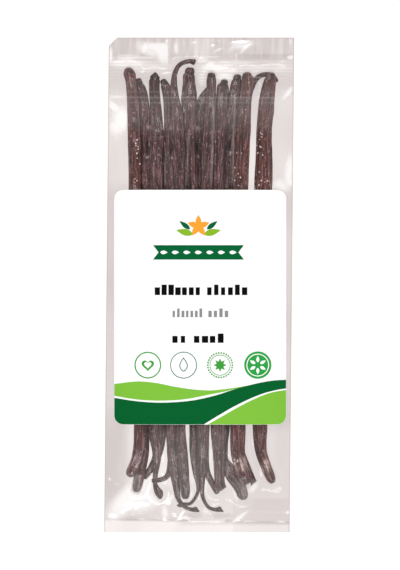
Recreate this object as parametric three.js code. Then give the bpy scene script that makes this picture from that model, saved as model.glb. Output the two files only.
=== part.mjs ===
// A flat clear packet of vanilla pods, lying on its back, with a paper label across its front.
// Millimetres: +X is the packet's right, +Y its top and +Z its front. It rests on z = 0.
//
// The packet is one solid: the film lies over the pods and keeps their ridges, blunt tops and
// hooked stem ends. The label is a thin sheet on the film, bent down towards its edges.

import * as THREE from "three";

// ---- The film packet ----
const BAG_WIDTH = 75;
const BAG_LENGTH = 200;
const BAG_LEAN = 1.9; // how far right of its bottom edge the top edge stands
const CORNER_FOLD = 3.4; // the top left corner is folded away at 45 degrees
const EDGE_THICKNESS = 0.6; // welded edges, where front and back film meet
const HEADER_DEPTH = 8.2; // welded strip along the top edge
const FOOT_DEPTH = 4.4; // welded strip along the bottom edge
const FILM_OVER_POD = 0.3; // film and air on top of a pod

// ---- The label ----
const LABEL_WIDTH = 69.5;
const LABEL_LENGTH = 94.6;
const LABEL_CENTRE = [0.4, -9];
const LABEL_CORNER = 3.5;
const LABEL_THICKNESS = 0.3;
const LABEL_GAP = 0.3; // between the film and the label's back
const LABEL_CREST = 8.9; // height of the label's flat middle
const LABEL_DROOP = 6.4; // how far its long edges bend down
const LABEL_BEND = 5; // power of the bend: a higher one keeps more of the middle flat
const LABEL_END_DROOP = 0.9; // how far its top and foot edges bend down
const LABEL_END_REACH = 16; // over how much of its length they do

// ---- The pods ----
const POD_FLATNESS = 0.72; // thickness over width
const POD_BED = 0.4; // the lowest pods lie this far above the surface
const POD_SINK = 0.7; // how far a pod presses into the ones below it
const POD_STIFFNESS = 0.012; // how little a pod sags between the places that hold it up

// Each pod's route from its blunt top to its stem end as [x, y, width], the lowest pod first.
const PODS = [
  [[-14.3, 62, 2.4], [-14.2, 39, 4], [-15.2, -57, 4.4], [-16.1, -66, 3.9], [-18.4, -72.6, 3.1],
    [-22.4, -78.4, 2.4]],
  [[-10.2, 73, 2.8], [-9.4, 39, 4], [-10.6, -59, 4], [-11.2, -71, 3], [-13.4, -77.7, 2.1],
    [-19.3, -79.3, 2]],
  [[-24.8, 83.6, 2.4], [-24.2, 81.2, 3.4], [-23.2, 78.2, 4.1], [-22.4, 73, 4.4], [-21.8, 62, 4.5],
    [-21.4, 39, 4.9], [-21.3, 20, 4.4], [-22.5, -57, 4.4], [-22.4, -65, 4.6], [-23.6, -74, 4.3],
    [-25.2, -81, 3.9], [-25.7, -83.8, 2.6]],
  [[3.9, 79.8, 1.8], [3.1, 78.4, 2.8], [2.1, 76, 4.4], [1.1, 73, 5.4], [0.6, 70, 5.7],
    [0.4, 52, 4.9], [0.6, 20, 4.4], [1.9, -59, 4], [2.4, -71.6, 3.4], [3.3, -76, 2.9],
    [5, -79.6, 2.6], [7.6, -84.4, 2.2]],
  [[31.6, 82, 1.8], [29.4, 84.7, 2], [25.6, 84.8, 2], [23.1, 83.2, 2.2], [21.5, 80.4, 2.5],
    [19.9, 76, 2.8], [18.9, 69, 3.4], [18.3, 60, 3.4], [17.9, 39, 3.4], [16.7, -57, 3],
    [17, -67, 3], [19.4, -73.8, 3.2], [21.6, -78.8, 2.6], [22.1, -80.3, 3.1]],
  [[15.8, 85.2, 3.4], [15.2, 82, 4.5], [14.4, 78.4, 5], [13.1, 70, 5.6], [12.6, 62, 5.4],
    [11.4, 39, 5], [11, 20, 4.4], [10.1, -58, 4.2], [9.6, -67, 3.8], [10.1, -71.4, 4.2],
    [12.5, -75.4, 5.5], [15.7, -79.8, 5.6], [17.2, -83.4, 4.6], [17.7, -85.2, 4.3],
    [17.9, -87, 2.6]],
  [[-3.8, 88, 3.6], [-3.9, 86.2, 4.2], [-4.2, 84.4, 4.9], [-4.2, 81.8, 5.1], [-4.2, 77, 6.5],
    [-3.9, 70, 6.3], [-3.4, 55, 5.6], [-3, 39, 5.5], [-2.5, 20, 5.1], [-1.5, -59, 4.9],
    [-1.2, -70, 4.3], [-0.9, -76, 3.2], [-0.4, -80.4, 2], [-0.7, -84.2, 1.5], [-3.7, -88.4, 1.4],
    [-6.8, -88.6, 1.4], [-8.4, -89.6, 2]],
  [[-14.9, 83.2, 2.4], [-13.9, 81, 3.7], [-12.7, 76.8, 4.5], [-12.1, 68, 4.7], [-11.8, 60, 4.9],
    [-11.2, -59, 4.4], [-10.8, -71, 4.2], [-9.2, -81, 3.2], [-8.2, -87, 2], [-5.3, -90, 1.6],
    [-2.5, -90.8, 1.8], [-0.5, -90.6, 2.8]],
  [[10.2, 83.1, 2.8], [10.1, 81.4, 3.4], [9.6, 80.2, 4.7], [9.2, 76, 5], [8.8, 68, 4.9],
    [7.5, 39, 5], [7.5, 20, 4.9], [7.8, -57, 6], [7.9, -65, 5.6], [8, -73, 4.6], [8.3, -79, 4.2],
    [8.7, -83.3, 5.6]],
  [[-17.7, 86, 0.8], [-17.8, 84.9, 2.6], [-17.9, 83.8, 4.4], [-18.1, 80, 4.1], [-17.9, 75, 4.3],
    [-17.3, 67, 4.7], [-17, 60, 5.2], [-17.9, -59, 4.9], [-17.1, -69, 3.6], [-17.8, -77, 2],
    [-17.9, -80, 1.7], [-17.2, -82.4, 2.6], [-16.2, -84.2, 3.6], [-15.9, -85.5, 2.6],
    [-15.9, -86.6, 1.2]],
  [[-1.5, 89.8, 3.4], [-2.6, 90.2, 2.4], [-4.6, 90.3, 1.9], [-7.6, 89.2, 1.8], [-9.5, 86.4, 2],
    [-10.2, 82.4, 2.5], [-10.1, 78, 3.2], [-9, 69, 4.6], [-8.1, 52, 5], [-7.8, 39, 4.9],
    [-7.6, 20, 4.4], [-7.2, -59, 4.2], [-6.6, -71, 4.2], [-5.6, -83.4, 3.8], [-5.6, -86.6, 2.6]],
  [[5.2, 85.9, 2.9], [5.1, 84.4, 3.9], [5, 77, 4], [4.5, 70, 4.6], [3.8, 60, 4.8], [3, 39, 4.9],
    [1.7, -59, 4.9], [1.6, -71, 4], [1.3, -79, 2.2], [1.5, -85.8, 1.6], [4, -90, 1.6],
    [6.8, -90.8, 1.8], [9.2, -90.6, 2.8]],
  [[-28.2, 87.9, 2.8], [-28.4, 86, 4.8], [-27.7, 83, 4.5], [-27, 78.4, 4.8], [-26.4, 62, 4.9],
    [-26.1, 39, 5.1], [-23.7, -57, 5.2], [-23.9, -64.7, 5], [-25.3, -71, 4.6], [-27.6, -76, 4],
    [-28.2, -77.7, 2.6]],
  [[19, 86, 3], [19.3, 83.8, 4.6], [19.4, 80.8, 5.1], [18.8, 76, 5.3], [17.8, 64.7, 5.7],
    [16.8, 44, 6.1], [15.3, -57, 6.6], [15.3, -67.6, 6.2], [16.7, -74, 5.6], [18.2, -78.6, 5],
    [18.7, -80.8, 3.6]],
  [[29, 86, 3], [28.9, 83.8, 4.4], [27.9, 78.2, 5.6], [27.1, 71.8, 6.2], [26.4, 65.6, 6.1],
    [26.2, 60, 6.5], [26.4, 54.6, 6.7], [26.3, 50, 6.8], [24.6, -57, 5.7], [25.1, -67, 4.9],
    [27.3, -74, 4.3], [29.1, -78.4, 3.5], [29.8, -80.2, 2]],
];

// ---- How finely the shapes are worked out ----
const CELL = 0.8; // of the height field that the film is draped on
const POD_STEP = 0.5; // along a pod's route
const DRAPE_ROUNDS = 500;
const CLING = { pods: 0.28, margin: 0.02 }; // how hard the film is drawn down, per mm
const MARGIN = 7; // the film spans this far from the welded edges to the pods like a tent
const COLUMN_STEP = 1.35; // between the packet's facets, across
const ROW_STEP = { foot: 2.8, stems: 1.6, label: 10.5, bodies: 3.4, tops: 1.45, header: 4.1 };

const TOP = BAG_LENGTH / 2;
const HEADER = TOP - HEADER_DEPTH;
const FOOT = FOOT_DEPTH - TOP;
const LABEL_TOP = LABEL_CENTRE[1] + LABEL_LENGTH / 2;
const LABEL_FOOT = LABEL_CENTRE[1] - LABEL_LENGTH / 2;
const TOPS = 74; // above this height the pods taper to their tops

const lean = (y) => (BAG_LEAN * y) / BAG_LENGTH;
const rightEdge = (y) => lean(y) + BAG_WIDTH / 2;
const leftEdge = (y) => lean(y) - BAG_WIDTH / 2 + Math.max(0, y - TOP + CORNER_FOLD);

// Height of the label's front.
function labelHeight(x, y) {
  const across = Math.min(Math.abs(x - LABEL_CENTRE[0]) / (LABEL_WIDTH / 2), 1);
  const toEnd = LABEL_LENGTH / 2 - Math.abs(y - LABEL_CENTRE[1]);
  const end = THREE.MathUtils.clamp(1 - toEnd / LABEL_END_REACH, 0, 1);
  return LABEL_CREST - LABEL_DROOP * across ** LABEL_BEND - LABEL_END_DROOP * end ** 2;
}

// ---- A height field over the packet ----
const FIELD_X = Math.ceil(BAG_WIDTH / 2 / CELL) + 4;
const FIELD_Y = Math.ceil(TOP / CELL) + 4;
const FIELD_COLUMNS = 2 * FIELD_X + 1;
const FIELD_ROWS = 2 * FIELD_Y + 1;

const cellAt = (x, y) =>
  (Math.round(y / CELL) + FIELD_Y) * FIELD_COLUMNS + Math.round(x / CELL) + FIELD_X;

// The height at a point, from the four cells round it.
function readField(field, x, y) {
  const u = x / CELL + FIELD_X;
  const v = y / CELL + FIELD_Y;
  const i = Math.floor(u);
  const j = Math.floor(v);
  const at = j * FIELD_COLUMNS + i;
  const near = THREE.MathUtils.lerp(field[at], field[at + 1], u - i);
  const far = THREE.MathUtils.lerp(field[at + FIELD_COLUMNS], field[at + FIELD_COLUMNS + 1], u - i);
  return THREE.MathUtils.lerp(near, far, v - j);
}

// Evenly spaced cross-sections along a pod: centre, direction across it, half width, half thickness.
function podSections(route) {
  const curve = new THREE.CatmullRomCurve3(
    route.map(([x, y, width]) => new THREE.Vector3(x, y, width)),
    false,
    "centripetal",
  );
  const length = curve.getLength();
  const count = Math.round(length / POD_STEP);
  return curve.getSpacedPoints(count).map((point, i) => {
    const tangent = curve.getTangentAt(i / count);
    const across = new THREE.Vector2(-tangent.y, tangent.x).normalize();
    const toEnd = Math.min(i, count - i) * POD_STEP;
    const rounding = Math.min(toEnd / (point.z / 2), 1);
    const halfWidth = (point.z / 2) * Math.sqrt(1 - (1 - rounding) ** 2);
    return { point, across, halfWidth, halfThickness: halfWidth * POD_FLATNESS };
  });
}

// Calls visit(cell, share) over a section's width, with share the part of its full thickness there.
function overSection(section, visit) {
  const { point, across, halfWidth } = section;
  const steps = Math.ceil((2 * halfWidth) / (CELL / 2));
  for (let k = 0; k <= steps; k++) {
    const offset = steps ? (2 * k) / steps - 1 : 0;
    const x = point.x + across.x * halfWidth * offset;
    const y = point.y + across.y * halfWidth * offset;
    visit(cellAt(x, y), Math.sqrt(Math.max(0, 1 - offset * offset)));
  }
}

// Lays one pod on the pile: it rests on the highest places below it and sags a little between them.
function layPod(pile, route) {
  const sections = podSections(route);
  const rest = sections.map((section) => {
    let height = POD_BED + section.halfThickness;
    overSection(section, (cell, share) => {
      height = Math.max(height, pile[cell] + section.halfThickness * share - POD_SINK);
    });
    return height;
  });
  const heights = rest.slice();
  for (let round = 0; round < DRAPE_ROUNDS; round++)
    for (let i = 1; i < heights.length - 1; i++) {
      const level = (heights[i - 1] + heights[i + 1]) / 2 - POD_STIFFNESS;
      heights[i] = Math.max(rest[i], level);
    }
  sections.forEach((section, i) =>
    overSection(section, (cell, share) => {
      pile[cell] = Math.max(pile[cell], heights[i] + section.halfThickness * share);
    }),
  );
}

// Film stretched over the pile: level at the welded edges, under the label, and on the pods.
function drapeFilm(pile) {
  const fixed = new Float32Array(pile.length).fill(NaN);
  const film = new Float32Array(pile.length).fill(EDGE_THICKNESS);
  const pull = new Float32Array(pile.length);
  for (let j = 0; j < FIELD_ROWS; j++)
    for (let i = 0; i < FIELD_COLUMNS; i++) {
      const x = (i - FIELD_X) * CELL;
      const y = (j - FIELD_Y) * CELL;
      const cell = j * FIELD_COLUMNS + i;
      const welded =
        y >= HEADER || y <= FOOT || x <= leftEdge(y) + CELL || x >= rightEdge(y) - CELL;
      const labelled =
        Math.abs(x - LABEL_CENTRE[0]) <= LABEL_WIDTH / 2 + CELL &&
        Math.abs(y - LABEL_CENTRE[1]) <= LABEL_LENGTH / 2 + 2 * CELL;
      if (welded) fixed[cell] = EDGE_THICKNESS;
      else if (labelled) fixed[cell] = labelHeight(x, y) - LABEL_THICKNESS - LABEL_GAP;
      const overPods =
        Math.abs(x - lean(y)) < BAG_WIDTH / 2 - MARGIN && y < HEADER - 1 && y > FOOT + MARGIN / 2;
      pull[cell] = ((overPods ? CLING.pods : CLING.margin) * CELL * CELL) / 4;
      film[cell] = Number.isNaN(fixed[cell]) ? pile[cell] + FILM_OVER_POD : fixed[cell];
    }
  const under = film.map((height) => Math.max(height, EDGE_THICKNESS));
  for (let round = 0; round < DRAPE_ROUNDS; round++)
    for (let j = 1; j < FIELD_ROWS - 1; j++)
      for (let i = 1; i < FIELD_COLUMNS - 1; i++) {
        const cell = j * FIELD_COLUMNS + i;
        if (!Number.isNaN(fixed[cell])) continue;
        const around =
          film[cell - 1] + film[cell + 1] + film[cell - FIELD_COLUMNS] + film[cell + FIELD_COLUMNS];
        film[cell] = Math.max(under[cell], around / 4 - pull[cell]);
      }
  return film;
}

// Values from one end of a stretch to the other, about step apart, without the last one.
function spread(from, to, step) {
  const count = Math.max(1, Math.round((to - from) / step));
  return Array.from({ length: count }, (_, i) => from + ((to - from) * i) / count);
}

// A closed mesh from a list of corner points and a list of triangles.
function closedMesh(corners, triangles) {
  const geometry = new THREE.BufferGeometry();
  geometry.setAttribute("position", new THREE.Float32BufferAttribute(corners.flat(), 3));
  geometry.setIndex(triangles.flat());
  geometry.computeVertexNormals();
  return geometry;
}

// ---- The packet: film front in rows and columns of facets, flat back, thin welded edge ----
function bagGeometry() {
  const pile = new Float32Array(FIELD_COLUMNS * FIELD_ROWS).fill(0);
  PODS.forEach((route) => layPod(pile, route));
  const film = drapeFilm(pile);

  const rows = [
    ...spread(-TOP, FOOT, ROW_STEP.foot),
    ...spread(FOOT, LABEL_FOOT - CELL, ROW_STEP.stems),
    ...spread(LABEL_FOOT - CELL, LABEL_TOP + CELL, ROW_STEP.label),
    ...spread(LABEL_TOP + CELL, TOPS, ROW_STEP.bodies),
    ...spread(TOPS, HEADER, ROW_STEP.tops),
    ...spread(HEADER, TOP, ROW_STEP.header),
    TOP,
  ];
  const columns = Math.round(BAG_WIDTH / COLUMN_STEP);
  const corners = [];
  const front = rows.map((y) =>
    Array.from({ length: columns + 1 }, (_, i) => {
      const x = THREE.MathUtils.lerp(leftEdge(y), rightEdge(y), i / columns);
      const edge = i === 0 || i === columns || Math.abs(y) === TOP;
      corners.push([x, y, edge ? EDGE_THICKNESS : readField(film, x, y)]);
      return corners.length - 1;
    }),
  );
  const last = rows.length - 1;
  const loop = [
    ...front[0],
    ...front.slice(1).map((row) => row[columns]),
    ...front[last].slice(0, -1).reverse(),
    ...front.slice(1, -1).map((row) => row[0]).reverse(),
  ];
  const back = new Map();
  loop.forEach((corner) => {
    corners.push([corners[corner][0], corners[corner][1], 0]);
    back.set(corner, corners.length - 1);
  });

  const triangles = [];
  for (let j = 0; j < last; j++)
    for (let i = 0; i < columns; i++) {
      const [a, b] = [front[j][i], front[j][i + 1]];
      const [c, d] = [front[j + 1][i], front[j + 1][i + 1]];
      triangles.push([a, b, d], [a, d, c]);
    }
  loop.forEach((corner, i) => {
    const next = loop[(i + 1) % loop.length];
    triangles.push([corner, back.get(corner), back.get(next)]);
    triangles.push([corner, back.get(next), next]);
  });
  const under = (j, i) => back.get(front[j][i]);
  for (let i = 0; i < columns; i++) {
    triangles.push([under(1, 0), under(0, i + 1), under(0, i)]);
    triangles.push([under(last - 1, columns), under(last, i), under(last, i + 1)]);
  }
  triangles.push([under(1, 0), under(1, columns), under(0, columns)]);
  triangles.push([under(last - 1, columns), under(last - 1, 0), under(last, 0)]);
  for (let j = 1; j < last - 1; j++) {
    triangles.push([under(j, 0), under(j + 1, 0), under(j + 1, columns)]);
    triangles.push([under(j, 0), under(j + 1, columns), under(j, columns)]);
  }
  return closedMesh(corners, triangles);
}

// ---- The label: a bent sheet with rounded corners, in strips along its length ----
function labelGeometry() {
  const halfWidth = LABEL_WIDTH / 2;
  const quarter = 6; // strips in each rounded corner
  const middle = 36; // strips between the corners
  const offsets = [
    ...Array.from({ length: quarter }, (_, i) => {
      return -halfWidth + LABEL_CORNER * (1 - Math.cos((i / quarter) * (Math.PI / 2)));
    }),
    ...spread(LABEL_CORNER - halfWidth, 0, (2 * halfWidth) / middle),
  ];
  const stations = [...offsets, 0, ...offsets.map((offset) => -offset).reverse()];
  const fromEnd = [...spread(0, LABEL_END_REACH, 4), LABEL_END_REACH];
  const corners = [];
  const sections = stations.map((offset) => {
    const intoCorner = Math.max(0, Math.abs(offset) - halfWidth + LABEL_CORNER);
    const cut = LABEL_CORNER - Math.sqrt(Math.max(0, LABEL_CORNER ** 2 - intoCorner ** 2));
    const halfLength = LABEL_LENGTH / 2 - cut;
    const x = LABEL_CENTRE[0] + offset;
    const up = fromEnd.map((distance) => distance - halfLength);
    return [...up, ...up.map((distance) => -distance).reverse()].map((distance) => {
      const y = LABEL_CENTRE[1] + distance;
      const z = labelHeight(x, y);
      corners.push([x, y, z], [x, y, z - LABEL_THICKNESS]);
      return { front: corners.length - 2, back: corners.length - 1 };
    });
  });
  const triangles = [];
  const quad = (a, b, c, d) => triangles.push([a, b, c], [a, c, d]);
  const last = sections[0].length - 1;
  for (let i = 0; i < sections.length - 1; i++) {
    const [s, t] = [sections[i], sections[i + 1]];
    for (let j = 0; j < last; j++) {
      quad(s[j].front, t[j].front, t[j + 1].front, s[j + 1].front);
      quad(s[j].back, s[j + 1].back, t[j + 1].back, t[j].back);
    }
    quad(s[last].front, t[last].front, t[last].back, s[last].back);
    quad(s[0].front, s[0].back, t[0].back, t[0].front);
  }
  const [start, end] = [sections[0], sections[sections.length - 1]];
  for (let j = 0; j < last; j++) {
    quad(start[j].front, start[j + 1].front, start[j + 1].back, start[j].back);
    quad(end[j].front, end[j].back, end[j + 1].back, end[j + 1].front);
  }
  return closedMesh(corners, triangles);
}

// ---- Assembly ----
const filmOverPods = new THREE.MeshStandardMaterial({
  color: "#6b4f4b",
  roughness: 0.25,
  metalness: 0,
});
const whitePaper = new THREE.MeshStandardMaterial({
  color: "#fbfbf9",
  roughness: 0.5,
  metalness: 0,
});

function namedMesh(name, geometry, material) {
  const mesh = new THREE.Mesh(geometry, material);
  mesh.name = name;
  return mesh;
}

const packet = new THREE.Group();
packet.add(namedMesh("bag", bagGeometry(), filmOverPods));
packet.add(namedMesh("label", labelGeometry(), whitePaper));

export default packet;
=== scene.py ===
"""A clear film packet of vanilla pods with a printed paper label, lying on a pale table.

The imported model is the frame: its solid "bag" gives way to the film and the pods in it, and its
solid "label" to the printed sheet. Lengths are in millimetres until a mesh is made.
"""

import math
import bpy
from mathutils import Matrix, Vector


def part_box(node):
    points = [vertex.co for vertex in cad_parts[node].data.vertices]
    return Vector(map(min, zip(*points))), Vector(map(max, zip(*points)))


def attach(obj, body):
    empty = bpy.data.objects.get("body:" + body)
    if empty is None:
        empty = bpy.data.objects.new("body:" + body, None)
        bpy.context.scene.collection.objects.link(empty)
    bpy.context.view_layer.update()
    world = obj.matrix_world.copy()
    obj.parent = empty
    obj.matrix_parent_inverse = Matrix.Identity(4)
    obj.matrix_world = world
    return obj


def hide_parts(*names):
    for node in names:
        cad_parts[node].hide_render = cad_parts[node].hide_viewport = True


bl_info = {
    "name": "Vanilla Pod Packet",
    "version": (1, 0, 0),
    "blender": (4, 5, 0),
    "location": "View3D > Sidebar > Packet",
    "description": "Builds a clear film packet of vanilla pods with a printed label",
    "category": "Add Mesh",
}

import bmesh
import bpy
import numpy as np
from bpy.props import FloatProperty, FloatVectorProperty, IntProperty, PointerProperty
from mathutils import Vector

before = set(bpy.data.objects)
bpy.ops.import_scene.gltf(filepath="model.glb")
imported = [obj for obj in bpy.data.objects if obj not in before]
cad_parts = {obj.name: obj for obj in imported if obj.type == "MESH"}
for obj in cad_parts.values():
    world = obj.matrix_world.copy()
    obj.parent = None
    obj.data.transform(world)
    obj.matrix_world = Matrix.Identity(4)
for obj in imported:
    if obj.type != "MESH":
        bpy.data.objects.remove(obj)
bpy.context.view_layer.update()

MM = 0.001
BAG_LOW, BAG_HIGH = ([c / MM for c in corner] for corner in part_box("bag"))
LABEL_LOW, LABEL_HIGH = ([c / MM for c in corner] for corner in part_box("label"))

# ---- The packet's plan, as in the solid ----
BAG_LENGTH = BAG_HIGH[1] - BAG_LOW[1]
BAG_LEAN = 1.9
BAG_WIDTH = BAG_HIGH[0] - BAG_LOW[0] - BAG_LEAN
TOP = BAG_LENGTH / 2
CORNER_FOLD = 3.4
HEADER = TOP - 8.2
FOOT = 4.4 - TOP
RIBS_TOP = 90.8
RIBS_FOOT = 82.5
RIB_SPACING = 1.3

LABEL_WIDTH = LABEL_HIGH[0] - LABEL_LOW[0]
LABEL_LENGTH = LABEL_HIGH[1] - LABEL_LOW[1]
LABEL_X = (LABEL_LOW[0] + LABEL_HIGH[0]) / 2
LABEL_Y = (LABEL_LOW[1] + LABEL_HIGH[1]) / 2
LABEL_CORNER = 3.5
LABEL_CREST = LABEL_HIGH[2]
LABEL_DROOP = 6.4
LABEL_BEND = 5
LABEL_END_DROOP = 0.9
LABEL_END_REACH = 16
LABEL_GAP = 0.12
LABEL_FREE_END = 10
# Where slabs on the label are cut across so that they bend: from how far off its middle and how
# closely, for the cuts along it, and how closely for those across its ends.
LABEL_BEND_FROM = 12
LABEL_BEND_STEP = 1.0
LABEL_END_STEP = 2.0

# Each pod: name, how red it is, and its route from blunt top to stem end as (x, y, width),
# the lowest pod of the pile first.
PODS = (
    ("pod_short_left", 0.15, (
        (-14.3, 62, 2.4), (-14.2, 39, 4), (-15.2, -57, 4.4), (-16.1, -66, 3.9), (-18.4, -72.6, 3.1),
        (-22.4, -78.4, 2.4))),
    ("pod_short_middle", 0.1, (
        (-10.2, 73, 2.8), (-9.4, 39, 4), (-10.6, -59, 4), (-11.2, -71, 3), (-13.4, -77.7, 2.1),
        (-19.3, -79.3, 2))),
    ("pod_second", 0.3, (
        (-24.8, 83.6, 2.4), (-24.2, 81.2, 3.4), (-23.2, 78.2, 4.1), (-22.4, 73, 4.4),
        (-21.8, 62, 4.5), (-21.4, 39, 4.9), (-21.3, 20, 4.4), (-22.5, -57, 4.4), (-22.4, -65, 4.6),
        (-23.6, -74, 4.3), (-25.2, -81, 3.9), (-25.7, -83.8, 2.6))),
    ("pod_grey_middle", 0.05, (
        (3.9, 79.8, 1.8), (3.1, 78.4, 2.8), (2.1, 76, 4.4), (1.1, 73, 5.4), (0.6, 70, 5.7),
        (0.4, 52, 4.9), (0.6, 20, 4.4), (1.9, -59, 4), (2.4, -71.6, 3.4), (3.3, -76, 2.9),
        (5, -79.6, 2.6), (7.6, -84.4, 2.2))),
    ("pod_long_hook", 0.45, (
        (31.6, 82, 1.8), (29.4, 84.7, 2), (25.6, 84.8, 2), (23.1, 83.2, 2.2), (21.5, 80.4, 2.5),
        (19.9, 76, 2.8), (18.9, 69, 3.4), (18.3, 60, 3.4), (17.9, 39, 3.4), (16.7, -57, 3),
        (17, -67, 3), (19.4, -73.8, 3.2), (21.6, -78.8, 2.6), (22.1, -80.3, 3.1))),
    ("pod_grey_right", 0.0, (
        (15.8, 85.2, 3.4), (15.2, 82, 4.5), (14.4, 78.4, 5), (13.1, 70, 5.6), (12.6, 62, 5.4),
        (11.4, 39, 5), (11, 20, 4.4), (10.1, -58, 4.2), (9.6, -67, 3.8), (10.1, -71.4, 4.2),
        (12.5, -75.4, 5.5), (15.7, -79.8, 5.6), (17.2, -83.4, 4.6), (17.7, -85.2, 4.3),
        (17.9, -87, 2.6))),
    ("pod_broad_middle", 0.2, (
        (-3.8, 88, 3.6), (-3.9, 86.2, 4.2), (-4.2, 84.4, 4.9), (-4.2, 81.8, 5.1), (-4.2, 77, 6.5),
        (-3.9, 70, 6.3), (-3.4, 55, 5.6), (-3, 39, 5.5), (-2.5, 20, 5.1), (-1.5, -59, 4.9),
        (-1.2, -70, 4.3), (-0.9, -76, 3.2), (-0.4, -80.4, 2), (-0.7, -84.2, 1.5),
        (-3.7, -88.4, 1.4), (-6.8, -88.6, 1.4), (-8.4, -89.6, 2))),
    ("pod_hook_left", 0.2, (
        (-14.9, 83.2, 2.4), (-13.9, 81, 3.7), (-12.7, 76.8, 4.5), (-12.1, 68, 4.7),
        (-11.8, 60, 4.9), (-11.2, -59, 4.4), (-10.8, -71, 4.2), (-9.2, -81, 3.2), (-8.2, -87, 2),
        (-5.3, -90, 1.6), (-2.5, -90.8, 1.8), (-0.5, -90.6, 2.8))),
    ("pod_right_of_middle", 0.2, (
        (10.2, 83.1, 2.8), (10.1, 81.4, 3.4), (9.6, 80.2, 4.7), (9.2, 76, 5), (8.8, 68, 4.9),
        (7.5, 39, 5), (7.5, 20, 4.9), (7.8, -57, 6), (7.9, -65, 5.6), (8, -73, 4.6),
        (8.3, -79, 4.2), (8.7, -83.3, 5.6))),
    ("pod_third", 0.25, (
        (-17.7, 86, 0.8), (-17.8, 84.9, 2.6), (-17.9, 83.8, 4.4), (-18.1, 80, 4.1),
        (-17.9, 75, 4.3), (-17.3, 67, 4.7), (-17, 60, 5.2), (-17.9, -59, 4.9), (-17.1, -69, 3.6),
        (-17.8, -77, 2), (-17.9, -80, 1.7), (-17.2, -82.4, 2.6), (-16.2, -84.2, 3.6),
        (-15.9, -85.5, 2.6), (-15.9, -86.6, 1.2))),
    ("pod_top_hook", 0.2, (
        (-1.5, 89.8, 3.4), (-2.6, 90.2, 2.4), (-4.6, 90.3, 1.9), (-7.6, 89.2, 1.8), (-9.5, 86.4, 2),
        (-10.2, 82.4, 2.5), (-10.1, 78, 3.2), (-9, 69, 4.6), (-8.1, 52, 5), (-7.8, 39, 4.9),
        (-7.6, 20, 4.4), (-7.2, -59, 4.2), (-6.6, -71, 4.2), (-5.6, -83.4, 3.8),
        (-5.6, -86.6, 2.6))),
    ("pod_hook_middle", 0.2, (
        (5.2, 85.9, 2.9), (5.1, 84.4, 3.9), (5, 77, 4), (4.5, 70, 4.6), (3.8, 60, 4.8),
        (3, 39, 4.9), (1.7, -59, 4.9), (1.6, -71, 4), (1.3, -79, 2.2), (1.5, -85.8, 1.6),
        (4, -90, 1.6), (6.8, -90.8, 1.8), (9.2, -90.6, 2.8))),
    ("pod_first", 1.0, (
        (-28.2, 87.9, 2.8), (-28.4, 86, 4.8), (-27.7, 83, 4.5), (-27, 78.4, 4.8), (-26.4, 62, 4.9),
        (-26.1, 39, 5.1), (-23.7, -57, 5.2), (-23.9, -64.7, 5), (-25.3, -71, 4.6), (-27.6, -76, 4),
        (-28.2, -77.7, 2.6))),
    ("pod_red_right", 1.0, (
        (19, 86, 3), (19.3, 83.8, 4.6), (19.4, 80.8, 5.1), (18.8, 76, 5.3), (17.8, 64.7, 5.7),
        (16.8, 44, 6.1), (15.3, -57, 6.6), (15.3, -67.6, 6.2), (16.7, -74, 5.6), (18.2, -78.6, 5),
        (18.7, -80.8, 3.6))),
    ("pod_last", 1.0, (
        (29, 86, 3), (28.9, 83.8, 4.4), (27.9, 78.2, 5.6), (27.1, 71.8, 6.2), (26.4, 65.6, 6.1),
        (26.2, 60, 6.5), (26.4, 54.6, 6.7), (26.3, 50, 6.8), (24.6, -57, 5.7), (25.1, -67, 4.9),
        (27.3, -74, 4.3), (29.1, -78.4, 3.5), (29.8, -80.2, 2))),
)
# Split places of the skin, dented and darkened by the painted shade of the grooves, and pale scars
# on it, partly painted glints of the curled skin, as (x, y, half width, half length, strength).
SLITS = (
    (-20.6, 55.0, 0.6, 2.7, 1), (-11.0, 55.0, 0.6, 2.7, 1), (-1.3, 55.6, 0.6, 2.8, 1),
    (12.0, 56.2, 0.6, 2.0, 1),
)
PALE_SCARS_AND_GLINTS = (
    (-20.9, 51.6, 0.6, 0.6, 0.9), (-11.4, 51.4, 0.7, 0.6, 0.9), (-1.0, 52.0, 0.6, 0.6, 0.9),
    (12.6, 53.2, 0.5, 0.7, 0.8), (-20.6, 63.6, 1.2, 0.8, 0.7), (-10.8, 63.4, 1.4, 0.8, 0.7),
    (-1.0, 63.2, 1.4, 0.8, 0.7), (-26.0, -71.4, 2.0, 2.6, 1), (16.8, -72.2, 2.6, 2.8, 1),
    (26.8, -73.2, 1.8, 2.8, 1), (-25.3, -80.4, 1.7, 3.6, 0.45), (17.6, -83.6, 2.2, 3.2, 0.5),
    (12.8, -75.6, 2.2, 3.2, 0.45),
)
# Beads gather in a strip down one side of these pods: its middle, as a share of the half width to
# the right, and its breadth as such a share.
BEADED_SIDES = {"pod_first": 0.4, "pod_red_right": -0.4, "pod_last": -0.4}
BEADED_WIDTH = 0.45
# Noise on the skin: features round the pod, the length of each, and its seed after the pod's own.
WANDERING = (3, 40, 0)
BROAD_WRINKLES = (12, 30, 1)
FINE_WRINKLES = (26, 14, 2)
SLOW_SWELLING = (3, 11, 3)
QUICK_SWELLING = (5, 4, 4)
RAGGED_CUT = (9, 3, 6)
UNEVEN_NECK = (3, 5, 7)
# Seed of the patches where beads gather, after the pod's own, and how many seeds each pod has.
BEAD_PATCHES = 5
SEEDS_FOR_POD = 10
# Half width of the pinch below a pod's top in mm, and of the seams down its sides in turns.
NECK_WIDTH = 0.3
SEAM_WIDTH = 0.03
# Steps along a pod for its route and for the rings of its mesh, and how far its pattern is moved
# along it for each count of its seed.
ROUTE_STEP = 0.5
RING_STEP = 0.8
SKIN_SHIFT = 7.3
# Lowest bed of a pod, how far pods press into each other, how a pod sags between two rests, and
# its lowest skin.
POD_BED = 0.4
POD_SINK = 0.7
POD_SAG = 0.012
SAG_ROUNDS = 3000
LOWEST_SKIN = 0.15

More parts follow.
